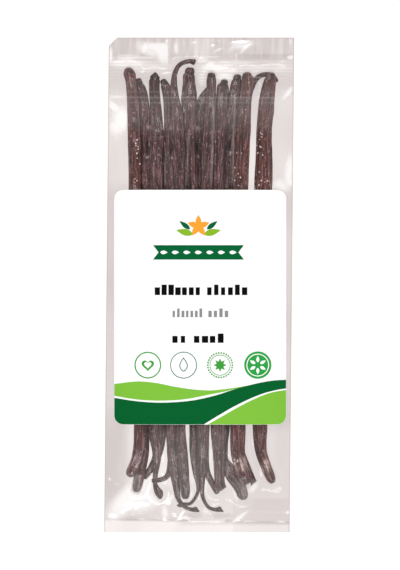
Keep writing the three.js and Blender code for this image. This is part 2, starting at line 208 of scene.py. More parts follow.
# Noise lattices, places on a curve between two of its points, and the grid for heights.
NOISE_CELLS = 64
NOISE_LENGTH = 220
CURVE_SAMPLES = 40
FIELD_CELL = 0.5
FIELD_LOW = (-42.0, -104.0)
FIELD_SHAPE = (417, 169)
DRAPE_ROUNDS = 700
OVER_RELAX = 1.8

# Rows of the film's mesh from its foot up, as (up to y, step).
FILM_ROWS = ((-93, 0.5), (-57, 0.55), (39, 2.2), (72, 0.7), (83, 0.4), (TOP, 0.26))
FILM_COLUMN = 0.5
WELD_BEAD = 0.35
BACK_HEIGHT = 0.02
# Where the weld of the foot begins: in the packet's middle, and how much lower per mm to the right.
SEAL_START = -95.5
SEAL_SLANT = 0.019
# Order of the bag's finishes.
FRONT_FINISH, EDGE_FINISH, BACK_FINISH = range(3)
# Light that the film reflects, seen squarely: on its own, and where a pod's oil dulls it.
FILM_GLOSS = 0.06
WETTED_GLOSS = 0.015
# Where the ribs are pressed deepest, as (x, y) and reach across and up.
DEEP_RIBS = ((8.2, 87.0, 7.0, 4.0), (30.0, 84.0, 5.0, 2.0))
# Noise over the film, as the size of its features across and up, and a seed.
RIB_WOBBLE = ((14, 5), 61)
RIB_DEPTH = ((9, 3), 62)
HEADER_WAVES = ((6.5, 5), 63)
HEADER_WRINKLES = ((2.6, 2.2), 64)
FOOT_WRINKLES = ((7, 5), 65)
BODY_WRINKLES = ((4, 9), 66)
TINT_CLOUDS = ((12, 16), 67)
RAGGED_EDGES = ((1.8, 1.4), 68)
HEADER_STREAKS = ((0.9, 9), 69)
RAGGED_FOLD = ((3, 1.6), 70)
# The film differs from place to place. Each row is an amount and the edges of its place; each
# edge is a way, where the place starts along it, and where it is full. The way "in" goes inwards
# from the bag's sides, and "seal" up from the weld at its foot.
RIBBED_PLACES = (
    (1.0, ("y", RIBS_FOOT - 1, RIBS_FOOT + 2), ("y", RIBS_TOP + 1, RIBS_TOP - 1)),
    (0.4, ("y", 73, 80), ("y", RIBS_FOOT + 1, RIBS_FOOT)),
)
TINTED_PLACES = (
    (-0.15, ("y", 34, 44), ("y", 82, 74)),
    (-0.08, ("y", -54, -60), ("x", -30, -20)),
    # Paler film over the pods: painted light that lifts the shade cast into the gaps between them.
    (-0.2, ("in", 7, 11), ("y", 0, 1), ("y", 86, 80)),
    (-0.2, ("in", 7, 11), ("y", 1, 0), ("y", -84, -78), ("x", 18, 15)),
    (0.25, ("in", 7, 11), ("y", 50, 72), ("y", 86, 80)),
    (-0.1, ("y", 91, 92.5), ("x", -2.5, -1), ("x", 4.5, 3.5)),
    (0.03, ("y", 90.5, 91.5), ("y", 93.8, 92.9)),
    (0.1, ("y", 90.5, 91.5), ("y", 93.8, 92.9), ("x", 12, 20)),
    (0.07, ("y", -86, -87), ("x", 13.2, 13.8)),
    # Darker film just above the middle of the foot's weld: painted shade that dims a glint of the
    # lights there.
    (0.2, ("x", -9, -6), ("x", 15, 11), ("seal", 0, 0.4), ("seal", 4, 2.5)),
    (-0.05, ("seal", 0, -0.6)),
)
# Painted sheen: white scatter added to the film over the upper pods and at the foot, for light that
# the film reflects there.
PAINTED_SHEEN_PLACES = (
    (0.052, ("y", 58, 68), ("y", 85, 80)),
    (-0.026, ("y", 58, 68), ("y", 75, 77.5), ("y", 85, 80)),
    (0.02, ("y", -53, -62)),
    (0.045, ("y", -53, -62), ("x", -22, -14), ("x", 16, 8)),
)
DULLED_PLACES = (
    (0.8, ("x", -6, -2), ("y", -74, -79), ("y", -96, -95)),
    (0.9, ("y", 80, 83), ("y", 92.5, 91.5)),
)


# ---- Helpers ----
def hex_colour(code):
    """A colour such as #86C944, as linear red, green, blue and alpha."""
    parts = [int(code[i : i + 2], 16) / 255 for i in (1, 3, 5)]
    linear = [p / 12.92 if p <= 0.04045 else ((p + 0.055) / 1.055) ** 2.4 for p in parts]
    return (*linear, 1.0)


def add_node(tree, kind, output=None, inputs=None, **settings):
    """Adds a node and gives its output of that name, or all of them.

    Settings are its attributes, and inputs are its sockets' values or the sockets that feed them.
    """
    made = tree.nodes.new(kind)
    for name, value in settings.items():
        setattr(made, name, value)
    for name, value in (inputs or {}).items():
        if isinstance(value, bpy.types.NodeSocket):
            tree.links.new(value, made.inputs[name])
        else:
            made.inputs[name].default_value = value
    return made.outputs if output is None else made.outputs[output]


def new_material(name):
    """A material with an empty node tree, and the tree."""
    material = bpy.data.materials.new(name)
    material.use_nodes = True
    material.node_tree.nodes.clear()
    return material, material.node_tree


def link_mesh(name, mesh):
    """An object at the origin for a mesh."""
    mesh.name = name
    made = bpy.data.objects.new(name, mesh)
    bpy.context.scene.collection.objects.link(made)
    return made


def plain_mesh(holder):
    """The mesh that an object's curve or modifiers make. The object itself goes."""
    bpy.context.scene.collection.objects.link(holder)
    settled = holder.evaluated_get(bpy.context.evaluated_depsgraph_get())
    mesh = bpy.data.meshes.new_from_object(settled)
    bpy.data.objects.remove(holder)
    return mesh


def smooth_object(name, corners, faces, materials):
    """An object at the origin from corners in millimetres, its smooth faces turned outwards."""
    mesh = bpy.data.meshes.new(name)
    mesh.from_pydata(np.asarray(corners) * MM, [], faces)
    shape = bmesh.new()
    shape.from_mesh(mesh)
    bmesh.ops.recalc_face_normals(shape, faces=shape.faces)
    for face in shape.faces:
        face.smooth = True
    shape.to_mesh(mesh)
    shape.free()
    for material in materials:
        mesh.materials.append(material)
    return link_mesh(name, mesh)


def store(mesh, name, values):
    """Keeps a number or a vector for each corner point of a mesh, for its material to read."""
    values = np.asarray(values, dtype=np.float32)
    kind, field = ("FLOAT_VECTOR", "vector") if values.ndim > 1 else ("FLOAT", "value")
    mesh.attributes.new(name, kind, "POINT").data.foreach_set(field, values.ravel())


def finish_piece(piece, replaced=None):
    """Puts a piece under the root body, and hides the solid that it replaces, if one is given."""
    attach(piece, "root")
    if replaced:
        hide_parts(replaced)


def between(lattice, u, v):
    """Values of a lattice at fractional columns u and rows v, smoothly joined."""
    i, j = np.floor(u).astype(int), np.floor(v).astype(int)
    s, t = u - i, v - j
    s, t = s * s * (3 - 2 * s), t * t * (3 - 2 * t)
    rows, columns = lattice.shape
    i, j, right, above = i % columns, j % rows, (i + 1) % columns, (j + 1) % rows
    low = lattice[j, i] * (1 - s) + lattice[j, right] * s
    high = lattice[above, i] * (1 - s) + lattice[above, right] * s
    return low * (1 - t) + high * t


def plane_noise(x, y, cell, seed):
    """Noise from -1 to 1 over the plane, with features about one cell (x, y) across."""
    lattice = np.random.default_rng(seed).uniform(-1, 1, (NOISE_CELLS, NOISE_CELLS))
    return between(lattice, x / cell[0], y / cell[1])


def tube_noise(turn, along, kind, seed):
    """Noise from -1 to 1 on a tube, of a kind given as features round it, their length and seed."""
    around, length, offset = kind
    rows = math.ceil(NOISE_LENGTH / length)
    lattice = np.random.default_rng(seed + offset).uniform(-1, 1, (rows, around))
    return between(lattice, turn * around, along / length)


def ramp(value, start, end):
    """0 at start, 1 at end, and a smooth step between them; start may be above end."""
    t = np.clip((value - start) / (end - start), 0, 1)
    return t * t * (3 - 2 * t)


def places_sum(places, ways):
    """Sum of the amounts of some places, each of them ramped in from its edges."""
    total = 0
    for amount, *edges in places:
        for way, start, end in edges:
            amount = amount * ramp(ways[way], start, end)
        total = total + amount
    return total


def smooth_line(points, step):
    """Even steps on a centripetal Catmull-Rom curve through points, and how far along each is."""
    p = np.array(points, dtype=float)
    p = np.vstack([2 * p[0] - p[1], p, 2 * p[-1] - p[-2]])
    gap = np.linalg.norm(np.diff(p, axis=0), axis=1) ** 0.5
    slope = np.diff(p, axis=0) / gap[:, None]
    middle = slope[:-1] - (p[2:] - p[:-2]) / (gap[:-1] + gap[1:])[:, None] + slope[1:]
    t = np.linspace(0, 1, CURVE_SAMPLES, endpoint=False)[:, None]
    pieces = []
    for i in range(len(points) - 1):
        leave, arrive = middle[i] * gap[i + 1], middle[i + 1] * gap[i + 1]
        pieces.append(
            p[i + 1] * (2 * t**3 - 3 * t**2 + 1)
            + leave * (t**3 - 2 * t**2 + t)
            + p[i + 2] * (3 * t**2 - 2 * t**3)
            + arrive * (t**3 - t**2)
        )
    dense = np.vstack([*pieces, p[-2]])
    steps = np.linalg.norm(np.diff(dense[:, :2], axis=0), axis=1)
    travelled = np.concatenate([[0], np.cumsum(steps)])
    along = np.linspace(0, travelled[-1], round(travelled[-1] / step) + 1)
    return np.column_stack([np.interp(along, travelled, column) for column in dense.T]), along


# ---- Heights in the packet ----
def lean(y):
    """How far the bag's middle is to the right."""
    return BAG_LEAN * y / BAG_LENGTH


def left_edge(y):
    """The bag's left edge, cut off where its top corner is folded away."""
    return lean(y) - BAG_WIDTH / 2 + np.maximum(0, y - TOP + CORNER_FOLD)


def right_edge(y):
    return lean(y) + BAG_WIDTH / 2


def label_height(x, y):
    """Height of the label's front."""
    across = np.minimum(np.abs(x - LABEL_X) / (LABEL_WIDTH / 2), 1)
    end = np.clip(1 - inside_label_end(y) / LABEL_END_REACH, 0, 1)
    return LABEL_CREST - LABEL_DROOP * across**LABEL_BEND - LABEL_END_DROOP * end**2


def inside_label_end(y):
    """Distance from the label's nearer short edge, negative beyond it."""
    return LABEL_LENGTH / 2 - np.abs(y - LABEL_Y)


def on_label(x, y, margin):
    """Whether a place is on the label, or within the margin of it."""
    return (np.abs(x - LABEL_X) <= LABEL_WIDTH / 2 + margin) & (inside_label_end(y) >= -margin)


def field_cells(x, y):
    """The height field's cells at places."""
    i = np.rint((x - FIELD_LOW[0]) / FIELD_CELL).astype(int)
    j = np.rint((y - FIELD_LOW[1]) / FIELD_CELL).astype(int)
    return j, i


def read_field(field, x, y):
    """The height at a place, from the four cells round it."""
    u, v = (x - FIELD_LOW[0]) / FIELD_CELL, (y - FIELD_LOW[1]) / FIELD_CELL
    i, j = np.floor(u).astype(int), np.floor(v).astype(int)
    s, t = u - i, v - j
    low = field[j, i] * (1 - s) + field[j, i + 1] * s
    high = field[j + 1, i] * (1 - s) + field[j + 1, i + 1] * s
    return low * (1 - t) + high * t


def end_rounding(along, length, width, bluntness):
    """Share of the full width along a pod: 1, falling to 0 in a blunt curve at each end."""
    to_end = np.minimum(along, length - along)
    reach = np.clip(to_end / (width / 2), 0, 1)
    return (1 - (1 - reach) ** bluntness) ** (1 / bluntness)


def lay_pod(pile, route, settings):
    """Lays one pod on the pile, and gives its centre line (x, y, z, width) and its way along."""
    line, along = smooth_line(route, ROUTE_STEP)
    tangent = np.gradient(line[:, :2], axis=0)
    across = np.column_stack([-tangent[:, 1], tangent[:, 0]])
    across /= np.linalg.norm(across, axis=1)[:, None]
    half_width = line[:, 2] / 2 * end_rounding(along, along[-1], line[:, 2], 2)
    half_thickness = half_width * settings.flatness

    offset = np.linspace(-1, 1, 25)
    share = half_thickness[:, None] * np.sqrt(1 - offset**2)
    reach = half_width[:, None] * offset
    cells = field_cells(
        line[:, :1] + across[:, :1] * reach, line[:, 1:2] + across[:, 1:] * reach
    )
    held = (pile[cells] + share - POD_SINK).max(axis=1)
    rest = np.maximum(POD_BED + half_thickness, held)
    height = rest.copy()
    for _ in range(SAG_ROUNDS):
        height[1:-1] = np.maximum(rest[1:-1], (height[:-2] + height[2:]) / 2 - POD_SAG)
    np.maximum.at(pile, cells, height[:, None] + share)
    return np.column_stack([line[:, :2], height, line[:, 2]]), along


# ---- Settings ----
class PodSettings(bpy.types.PropertyGroup):
    flatness: FloatProperty(
        name="Flatness", description="A pod's thickness over its width", default=0.72, min=0.4,
        max=1,
    )
    sides: IntProperty(name="Sides", description="Facets round a pod", default=88, min=12)
    groove_depth: FloatProperty(
        name="Groove depth", description="Depth of the lengthwise grooves over the half width",
        default=0.17, min=0, max=0.4, subtype="FACTOR",
    )
    unevenness: FloatProperty(
        name="Unevenness", description="Swelling and pinching over the half width",
        default=0.09, min=0, max=0.4, subtype="FACTOR",
    )
    top_bluntness: FloatProperty(
        name="Top bluntness", description="Power of the curve that closes the top", default=3, min=2
    )
    cut_bluntness: FloatProperty(
        name="Cut bluntness", description="Power of the curve at the cut stem end", default=7, min=2
    )
    cut_slant: FloatProperty(
        name="Cut slant", description="How far the stem's cut leans, over its width", default=0.4
    )
    neck: FloatProperty(
        name="Neck", description="How far below its top a pod is pinched, mm", default=2.2
    )
    bead_size: FloatProperty(
        name="Bead size", description="Half width of a bead of oil on the skin, mm", default=0.36
    )
    bead_density: FloatProperty(
        name="Bead density", description="Beads for each square metre where the skin beads most",
        default=520000,
    )


class FilmSettings(bpy.types.PropertyGroup):
    edge_height: FloatProperty(
        name="Edge height", description="Height of the front film at the welds, mm", default=0.35
    )
    clearance: FloatProperty(
        name="Clearance", description="Front film over the pods, mm", default=0.12
    )
    cling: FloatProperty(
        name="Cling", description="How hard the film is drawn down between pods, per mm",
        default=0.28,
    )
    margin_cling: FloatProperty(
        name="Margin cling", description="The same between the pods and the welds", default=0.02
    )
    label_thickness: FloatProperty(
        name="Label thickness", description="Paper and glue, mm", default=0.25
    )
    rib_height: FloatProperty(
        name="Rib height", description="Fine level ribs below the header, mm", default=0.055
    )
    header_wave: FloatProperty(
        name="Header wave", description="Waves of the welded header, mm", default=0.12
    )
    haze: FloatProperty(
        name="Haze", description="Light that the film scatters", default=0.006, subtype="FACTOR"
    )
    pale_tint: FloatVectorProperty(
        name="Pale tint", description="Light that passes the film where it is thinnest",
        subtype="COLOR", default=hex_colour("#FCF9F8")[:3],
    )
    dark_tint: FloatVectorProperty(
        name="Dark tint", description="Light that passes the film where it is thickest",
        subtype="COLOR", default=hex_colour("#E7E0DF")[:3],
    )


class LabelSettings(bpy.types.PropertyGroup):
    paper: FloatVectorProperty(
        name="Paper", description="Colour of the paper", subtype="COLOR",
        default=hex_colour("#FBFBFA")[:3],
    )
    light_green: FloatVectorProperty(
        name="Light green", description="Colour of the two pale fields", subtype="COLOR",
        default=hex_colour("#7FBE3E")[:3],
    )
    dark_green: FloatVectorProperty(
        name="Dark green", description="Colour of the dark wave", subtype="COLOR",
        default=hex_colour("#045E2C")[:3],
    )


class StageSettings(bpy.types.PropertyGroup):
    camera_height: FloatProperty(
        name="Camera height", description="Distance above the table", default=2.0, unit="LENGTH"
    )
    view_length: FloatProperty(
        name="View length", description="Length of table that the camera sees", default=0.2305,
        unit="LENGTH",
    )
    zenith: FloatProperty(
        name="Zenith", description="Brightness of the surroundings overhead", default=0.25
    )
    horizon: FloatProperty(
        name="Horizon", description="Brightness of the surroundings at table level", default=0.9
    )


class PacketSettings(bpy.types.PropertyGroup):
    pods: PointerProperty(type=PodSettings)
    film: PointerProperty(type=FilmSettings)
    label: PointerProperty(type=LabelSettings)
    stage: PointerProperty(type=StageSettings)


# ---- Pods ----
def cured_pod_skin():
    """Cured vanilla pod: oily brown leather, wrinkled lengthwise, near black in its grooves by
    painted shade, with painted highlights and glints on its crests.
    """
    material, tree = new_material("cured_pod_skin")
    crest, redness, pale = (
        add_node(tree, "ShaderNodeAttribute", "Fac", attribute_name=name)
        for name in ("crest", "redness", "paleness")
    )
    place = add_node(tree, "ShaderNodeAttribute", "Vector", attribute_name="skin_mm")
    # Fibres under half a millimetre wide and some 5 mm long, broken by flecks a millimetre long,
    # over blotches: the width and the length of each, and the noise's detail.
    streaks = []
    for width, length, detail in ((0.45, 5.0, 3.0), (0.5, 1.2, 2.0), (2.6, 7.0, 3.0)):
        stretched = add_node(
            tree, "ShaderNodeMapping", "Vector",
            {"Vector": place, "Scale": (1 / width, 1 / width, 1 / length)},
        )
        noise = {"Vector": stretched, "Scale": 1.0, "Detail": detail}
        streaks.append(add_node(tree, "ShaderNodeTexNoise", "Fac", noise))
    fibres, flecks, blotches = streaks
    # What each share follows, from where to where, and the share at either end.
    shares = []
    for value, start, end, low, high in (
        (blotches, 0.45, 0.64, 0.0, 0.65), (fibres, 0.4, 0.49, 0.72, 0.0),
        (crest, 0.1, 0.5, 0.92, 0.0), (crest, 0.3, 0.85, 0.0, 1.0),
        (fibres, 0.53, 0.62, 0.0, 0.72), (crest, 0.2, 0.5, 0.2, 1.0),
        (flecks, 0.61, 0.7, 0.0, 0.65), (flecks, 0.42, 0.58, 0.45, 1.0),
        (blotches, 0.35, 0.65, 0.22, 0.42),
    ):
        settings = {
            "Value": value, "From Min": start, "From Max": end, "To Min": low, "To Max": high
        }
        shares.append(add_node(tree, "ShaderNodeMapRange", "Result", settings))
    blotched, shaded, groove_shade, crest_bloom_and_highlight, streaked, crests_for_painted_glints, painted_glint_flecks, scar_glint_share, roughness = shares
    # Colours over each other, each by one share or by the product of two.
    colour = hex_colour("#503434")
    for code, share, *others in (
        ("#5C2A24", redness),
        ("#321C1C", blotched),
        ("#1C0E0E", shaded),
        # Painted shade: near black in the grooves, the splits and at the neck.
        ("#140A09", groove_shade),
        # Pale bloom with painted highlight: light streaks on the crests.
        ("#917172", crest_bloom_and_highlight, streaked),
        # Painted glints: light flecks on the crests.
        ("#C0A7A3", crests_for_painted_glints, painted_glint_flecks),
        # Pale scars, partly painted glints.
        ("#D6BFBA", pale, scar_glint_share),
    ):
        for other in others:
            share = add_node(
                tree, "ShaderNodeMath", "Value", {0: share, 1: other}, operation="MULTIPLY"
            )
        colour = add_node(
            tree, "ShaderNodeMix", "Result",
            {"Factor": share, "A": colour, "B": hex_colour(code)}, data_type="RGBA",
        )
    bump = add_node(
        tree, "ShaderNodeBump", "Normal", {"Height": fibres, "Strength": 0.8, "Distance": 0.16 * MM}
    )
    bump = add_node(
        tree, "ShaderNodeBump", "Normal",
        {"Height": flecks, "Strength": 0.9, "Distance": 0.25 * MM, "Normal": bump},
    )
    skin = add_node(
        tree, "ShaderNodeBsdfPrincipled", "BSDF",
        {"Base Color": colour, "Roughness": roughness, "Normal": bump, "IOR": 1.47},
    )
    add_node(tree, "ShaderNodeOutputMaterial", inputs={"Surface": skin})
    return material


def oil_bead():
    """Bead of vanilla oil on the skin: round and glinting, with a pale painted colour that adds to
    its glints.
    """
    material, tree = new_material("oil_bead")
    # Pale base colour: painted glint, so that each bead reads as a white speck.
    bead = add_node(
        tree, "ShaderNodeBsdfPrincipled", "BSDF",
        {"Base Color": hex_colour("#D9C7C2"), "Roughness": 0.1, "IOR": 1.8},
    )
    add_node(tree, "ShaderNodeOutputMaterial", inputs={"Surface": bead})
    return material


def marks_near(x, y, marks):
    """How near places are to marks given as (x, y, half width, half length, strength)."""
    near = np.zeros_like(x)
    for mark_x, mark_y, half_width, half_length, strength in marks:
        aside, away = (x - mark_x) / half_width, (y - mark_y) / half_length
        near = np.maximum(near, strength * np.exp(-(aside**2) - away**4))
    return near


def ring_places(along, width):
    """Places along a pod for the rings of its mesh: even, and closer where an end rounds off."""
    turn = np.linspace(0, math.pi / 2, 7)[1:]
    top = width[0] / 2 * (1 - np.cos(turn))
    tip = along[-1] - width[-1] / 2 * (1 - np.cos(turn))
    count = round((tip[-1] - top[-1]) / RING_STEP)
    return np.concatenate([top, np.linspace(top[-1], tip[-1], count + 1)[1:-1], tip[::-1]])


def wrinkles(turn, way, x, y, neck_height, seed):
    """How high the skin stands, from 0 in a groove to 1 on a ridge, and its fine part alone."""
    wander = 0.06 * tube_noise(turn, way, WANDERING, seed)
    broad = 1 - 2 * np.abs(tube_noise(turn + wander, way, BROAD_WRINKLES, seed))
    fine = tube_noise(turn + wander, way, FINE_WRINKLES, seed)
    seam = np.exp(-(((turn + 0.25) % 0.5 - 0.25) / SEAM_WIDTH) ** 2)
    crest = 0.5 + 0.32 * broad + 0.3 * fine - 0.5 * seam
    neck = neck_height * (1 + 0.3 * tube_noise(turn, np.full_like(way, seed), UNEVEN_NECK, seed))
    crest -= 0.8 * np.exp(-(((way - neck) / NECK_WIDTH) ** 2)) + 0.2 * ramp(neck - way, 0, 0.6)
    upper_side = np.sin(2 * math.pi * turn) > 0
    return np.clip(crest - marks_near(x, y, SLITS) * upper_side, 0, 1), fine


def tube_faces(count, sides):
    """Faces of a closed tube of so many rings; its last two corners are the middles of its ends."""
    start = np.arange(count - 1)[:, None] * sides
    k = np.arange(sides)
    after = (k + 1) % sides
    quads = np.stack([start + k, start + after, start + sides + after, start + sides + k], axis=-1)
    top, tip, last = count * sides, count * sides + 1, (count - 1) * sides
    faces = quads.reshape(-1, 4).tolist()
    faces += [(top, int(b), int(a)) for a, b in zip(k, after)]
    faces += [(tip, int(last + a), int(last + b)) for a, b in zip(k, after)]
    return faces


def beading(name, turn, way, up, seed):
    """Where beads gather on a pod: in patches down one side, by the label and near the tip."""
    aside = np.cos(2 * math.pi * turn) - BEADED_SIDES.get(name, 0)
    beaded = (name in BEADED_SIDES) * np.exp(-((aside / BEADED_WIDTH) ** 2))
    beaded *= ramp(plane_noise(way, turn, (3, 0.2), seed + BEAD_PATCHES), -0.2, 0.5)
    near_label = ramp(up, 28, 40) * ramp(up, 66, 56)
    near_tip = ramp(up, -68, -71) * ramp(up, -78, -75)
    return beaded * np.maximum(near_label, near_tip)


def pod_piece(name, redness, line, along, settings, seed, skin):
    """One pod round its centre line, wrinkled lengthwise and closed at both ends."""
    # A stem that flares at its end was cut there; any other end is round.
    cut = line[-1, 3] > line[-4, 3]
    places = ring_places(along, line[:, 3])
    length = along[-1]
    x, y, z, width = (np.interp(places, along, column) for column in line.T)
    tangent = np.gradient(np.column_stack([x, y]), places, axis=0)
    tangent /= np.linalg.norm(tangent, axis=1)[:, None]
    across = np.column_stack([-tangent[:, 1], tangent[:, 0]])
    round_end = settings.cut_bluntness if cut else settings.top_bluntness
    bluntness = np.where(places < length / 2, settings.top_bluntness, round_end)
    half = (width / 2 * end_rounding(places, length, width, bluntness))[:, None]

    turn, way = np.meshgrid(np.arange(settings.sides) / settings.sides, places)
    aside, above = half * np.cos(2 * math.pi * turn), half * np.sin(2 * math.pi * turn)
    x, y = x[:, None], y[:, None]
    crest, fine = wrinkles(turn, way, x + across[:, :1] * aside, y + 0 * turn, settings.neck, seed)
    swell = tube_noise(turn, way, SLOW_SWELLING, seed)
    swell = swell + 0.5 * tube_noise(turn, way, QUICK_SWELLING, seed)
    radius = 1 + settings.groove_depth * (2 * crest - 1.2) + settings.unevenness * swell
    side = aside * radius
    # The stem's cut leans, and its edge is ragged.
    near_cut = cut * ramp(places, length - 2.2, length)[:, None]
    ragged = 0.25 * tube_noise(turn, way, RAGGED_CUT, seed)
    lengthened = near_cut * (ragged - settings.cut_slant * side)
    rings = np.stack(
        [x + across[:, :1] * side + tangent[:, :1] * lengthened,
         y + across[:, 1:] * side + tangent[:, 1:] * lengthened,
         np.maximum(z[:, None] + above * radius * settings.flatness, LOWEST_SKIN)],
        axis=-1,
    )
    corners = np.vstack([rings.reshape(-1, 3), line[[0, -1], :3]])
    pod = smooth_object(name, corners, tube_faces(len(places), settings.sides), [skin])

    up = rings[..., 1]
    redder = redness * (0.9 + 0.1 * ramp(up, 74, 50)) * (1 - 0.4 * ramp(up, -66, -76))
    # Pale scars, partly painted glints, and a slight paling of the red pods near their tops.
    scars_and_glints = marks_near(rings[..., 0], up, PALE_SCARS_AND_GLINTS) * ramp(fine, -0.4, 0.3)
    shift = SKIN_SHIFT * seed
    for attribute, on_rings, at_ends in (
        ("crest", crest, [0.5, 0.5]),
        ("redness", redder, [0.25 * redness, 0.5 * redness]),
        ("paleness", np.maximum(scars_and_glints, 0.06 * redness * ramp(up, 62, 74)), [0, 0]),
        ("beading", beading(name, turn, way, up, seed), [0, 0]),
        ("skin_mm", np.stack([aside, above, way + shift], axis=-1),
         [(0, 0, shift), (0, 0, length + shift)]),
    ):
        on_rings = on_rings.reshape(-1, *on_rings.shape[2:])
        store(pod.data, attribute, np.concatenate([on_rings, at_ends]))
    return pod


class LayPods(bpy.types.Operator):
    """Lays the pods on each other, the lowest first, and gives each its wrinkled skin"""

    bl_idname = "packet.lay_pods"
    bl_label = "Lay pods"

    def execute(self, context):
        settings = context.scene.vanilla_packet.pods
        skin = cured_pod_skin()
        pile = np.zeros(FIELD_SHAPE)
        for number, (name, redness, route) in enumerate(PODS):
            line, along = lay_pod(pile, route, settings)
            seed = SEEDS_FOR_POD * number
            pod = pod_piece(name, redness, line, along, settings, seed, skin)
            finish_piece(pod, "bag")
        return {"FINISHED"}


# ---- Geometry Nodes ----
# Kinds of a tree's inputs; any other is a plain number.
SOCKET_KINDS = {
    "Geometry": "NodeSocketGeometry",
    "Material": "NodeSocketMaterial",
    "Count": "NodeSocketInt",
    "Seed": "NodeSocketInt",
}


def nodes_tree(name, *inputs):
    """A Geometry Nodes tree with a geometry output, and the sockets of its named inputs."""
    tree = bpy.data.node_groups.new(name, "GeometryNodeTree")
    for label in inputs:
        kind = SOCKET_KINDS.get(label, "NodeSocketFloat")
        tree.interface.new_socket(name=label, in_out="INPUT", socket_type=kind)
    tree.interface.new_socket(name="Geometry", in_out="OUTPUT", socket_type="NodeSocketGeometry")
    return tree, add_node(tree, "NodeGroupInput")


def close_tree(tree, instances, material):
    """Ends a tree: its instances made real and given their material."""
    realized = add_node(tree, "GeometryNodeRealizeInstances", "Geometry", {"Geometry": instances})
    coloured = add_node(
        tree, "GeometryNodeSetMaterial", "Geometry", {"Geometry": realized, "Material": material}
    )
    add_node(tree, "NodeGroupOutput", inputs={"Geometry": coloured})


def grown_mesh(tree, values, source=None):
    """The plain mesh that a tree makes from a source mesh, its inputs given by name."""
    holder = bpy.data.objects.new(tree.name, source or bpy.data.meshes.new(tree.name))
    modifier = holder.modifiers.new(tree.name, "NODES")
    modifier.node_group = tree
    for item in tree.interface.items_tree:
        if item.in_out == "INPUT" and item.name in values:
            modifier[item.identifier] = values[item.name]
    return plain_mesh(holder)


def bead_tree():
    """Flattened beads of many sizes, scattered over a skin where it beads."""
    tree, given = nodes_tree(
        "scatter_oil_beads", "Geometry", "Density", "Half width", "Seed", "Material"
    )
    beading = add_node(
        tree, "GeometryNodeInputNamedAttribute", "Attribute", {"Name": "beading"}, data_type="FLOAT"
    )
    density = add_node(
        tree, "ShaderNodeMath", "Value", {0: beading, 1: given["Density"]}, operation="MULTIPLY"
    )
    points = add_node(
        tree, "GeometryNodeDistributePointsOnFaces",
        inputs={"Mesh": given["Geometry"], "Density": density, "Seed": given["Seed"]},
        distribute_method="RANDOM",
    )
    bead = add_node(
        tree, "GeometryNodeMeshIcoSphere", "Mesh",
        {"Radius": given["Half width"], "Subdivisions": 2},
    )
    size = add_node(
        tree, "FunctionNodeRandomValue", "Value",
        {0: (0.5, 0.5, 0.35), 1: (1.3, 1.3, 0.6), "Seed": given["Seed"]}, data_type="FLOAT_VECTOR",
    )
    beads = add_node(
        tree, "GeometryNodeInstanceOnPoints", "Instances",
        {"Points": points["Points"], "Instance": bead, "Rotation": points["Rotation"],
         "Scale": size},
    )
    close_tree(tree, beads, given["Material"])
    return tree


class BeadSkin(bpy.types.Operator):
    """Scatters beads of oil over the skin where it beads"""

    bl_idname = "packet.bead_skin"
    bl_label = "Bead skin"

    def execute(self, context):
        settings = context.scene.vanilla_packet.pods
        joined = bmesh.new()
        for name in BEADED_SIDES:
            joined.from_mesh(bpy.data.objects[name].data)
        skin = bpy.data.meshes.new("beaded_skin")
        joined.to_mesh(skin)
        joined.free()
        mesh = grown_mesh(
            bead_tree(),
            {
                "Density": settings.bead_density,
                "Half width": settings.bead_size * MM,
                "Seed": 4,
                "Material": oil_bead(),
            },
            skin,
        )
        mesh.polygons.foreach_set("use_smooth", np.ones(len(mesh.polygons), dtype=bool))
        finish_piece(link_mesh("oil_beads", mesh), "bag")
        return {"FINISHED"}


# ---- Film ----
def clear_film(settings):
    """Cast polypropylene film: clear, a little grey, with a mirror gloss, a faint haze, and white
    scatter painted in as glare and sheen.
    """
    material, tree = new_material("clear_polypropylene_film")
    place = add_node(tree, "ShaderNodeTexCoord", "Object")
    haze = add_node(tree, "ShaderNodeAttribute", "Fac", attribute_name="haze")
    tinted = add_node(tree, "ShaderNodeAttribute", "Fac", attribute_name="tint")
    # Flow marks a few millimetres across break up the reflections.
    marks = add_node(
        tree, "ShaderNodeTexNoise", "Fac", {"Vector": place, "Scale": 260.0, "Detail": 2.0}
    )
    bump = add_node(
        tree, "ShaderNodeBump", "Normal", {"Height": marks, "Strength": 0.3, "Distance": 0.1 * MM}
    )
    tint = add_node(
        tree, "ShaderNodeMix", "Result",
        {"Factor": tinted, "A": (*settings.pale_tint, 1.0), "B": (*settings.dark_tint, 1.0)},
        data_type="RGBA",
    )
    through = add_node(tree, "ShaderNodeBsdfTransparent", "BSDF", {"Color": tint})
    # White scatter: the film's faint haze, and painted glare and sheen for the reflections of the
    # lights.
    scattered = add_node(tree, "ShaderNodeBsdfDiffuse", "BSDF", {"Color": hex_colour("#F4F0EF")})
    haze_and_glare_mix = add_node(tree, "ShaderNodeMixShader", "Shader", {0: haze, 1: through, 2: scattered})
    gloss = add_node(
        tree, "ShaderNodeBsdfAnisotropic", "BSDF",
        {"Color": (1.0, 1.0, 1.0, 1.0), "Roughness": 0.12, "Normal": bump},
    )
    # The same gloss from either side: little seen squarely, all of the light at a grazing view.
    square = add_node(tree, "ShaderNodeAttribute", "Fac", attribute_name="gloss")
    facing = add_node(tree, "ShaderNodeLayerWeight", "Facing", {"Blend": 0.5})
    grazing = add_node(tree, "ShaderNodeMath", "Value", {0: facing, 1: 5.0}, operation="POWER")
    share = add_node(tree, "ShaderNodeMix", "Result", {"Factor": grazing, "A": square, "B": 1.0})
    film = add_node(tree, "ShaderNodeMixShader", "Shader", {0: share, 1: haze_and_glare_mix, 2: gloss})
    add_node(tree, "ShaderNodeOutputMaterial", inputs={"Surface": film})
    return material


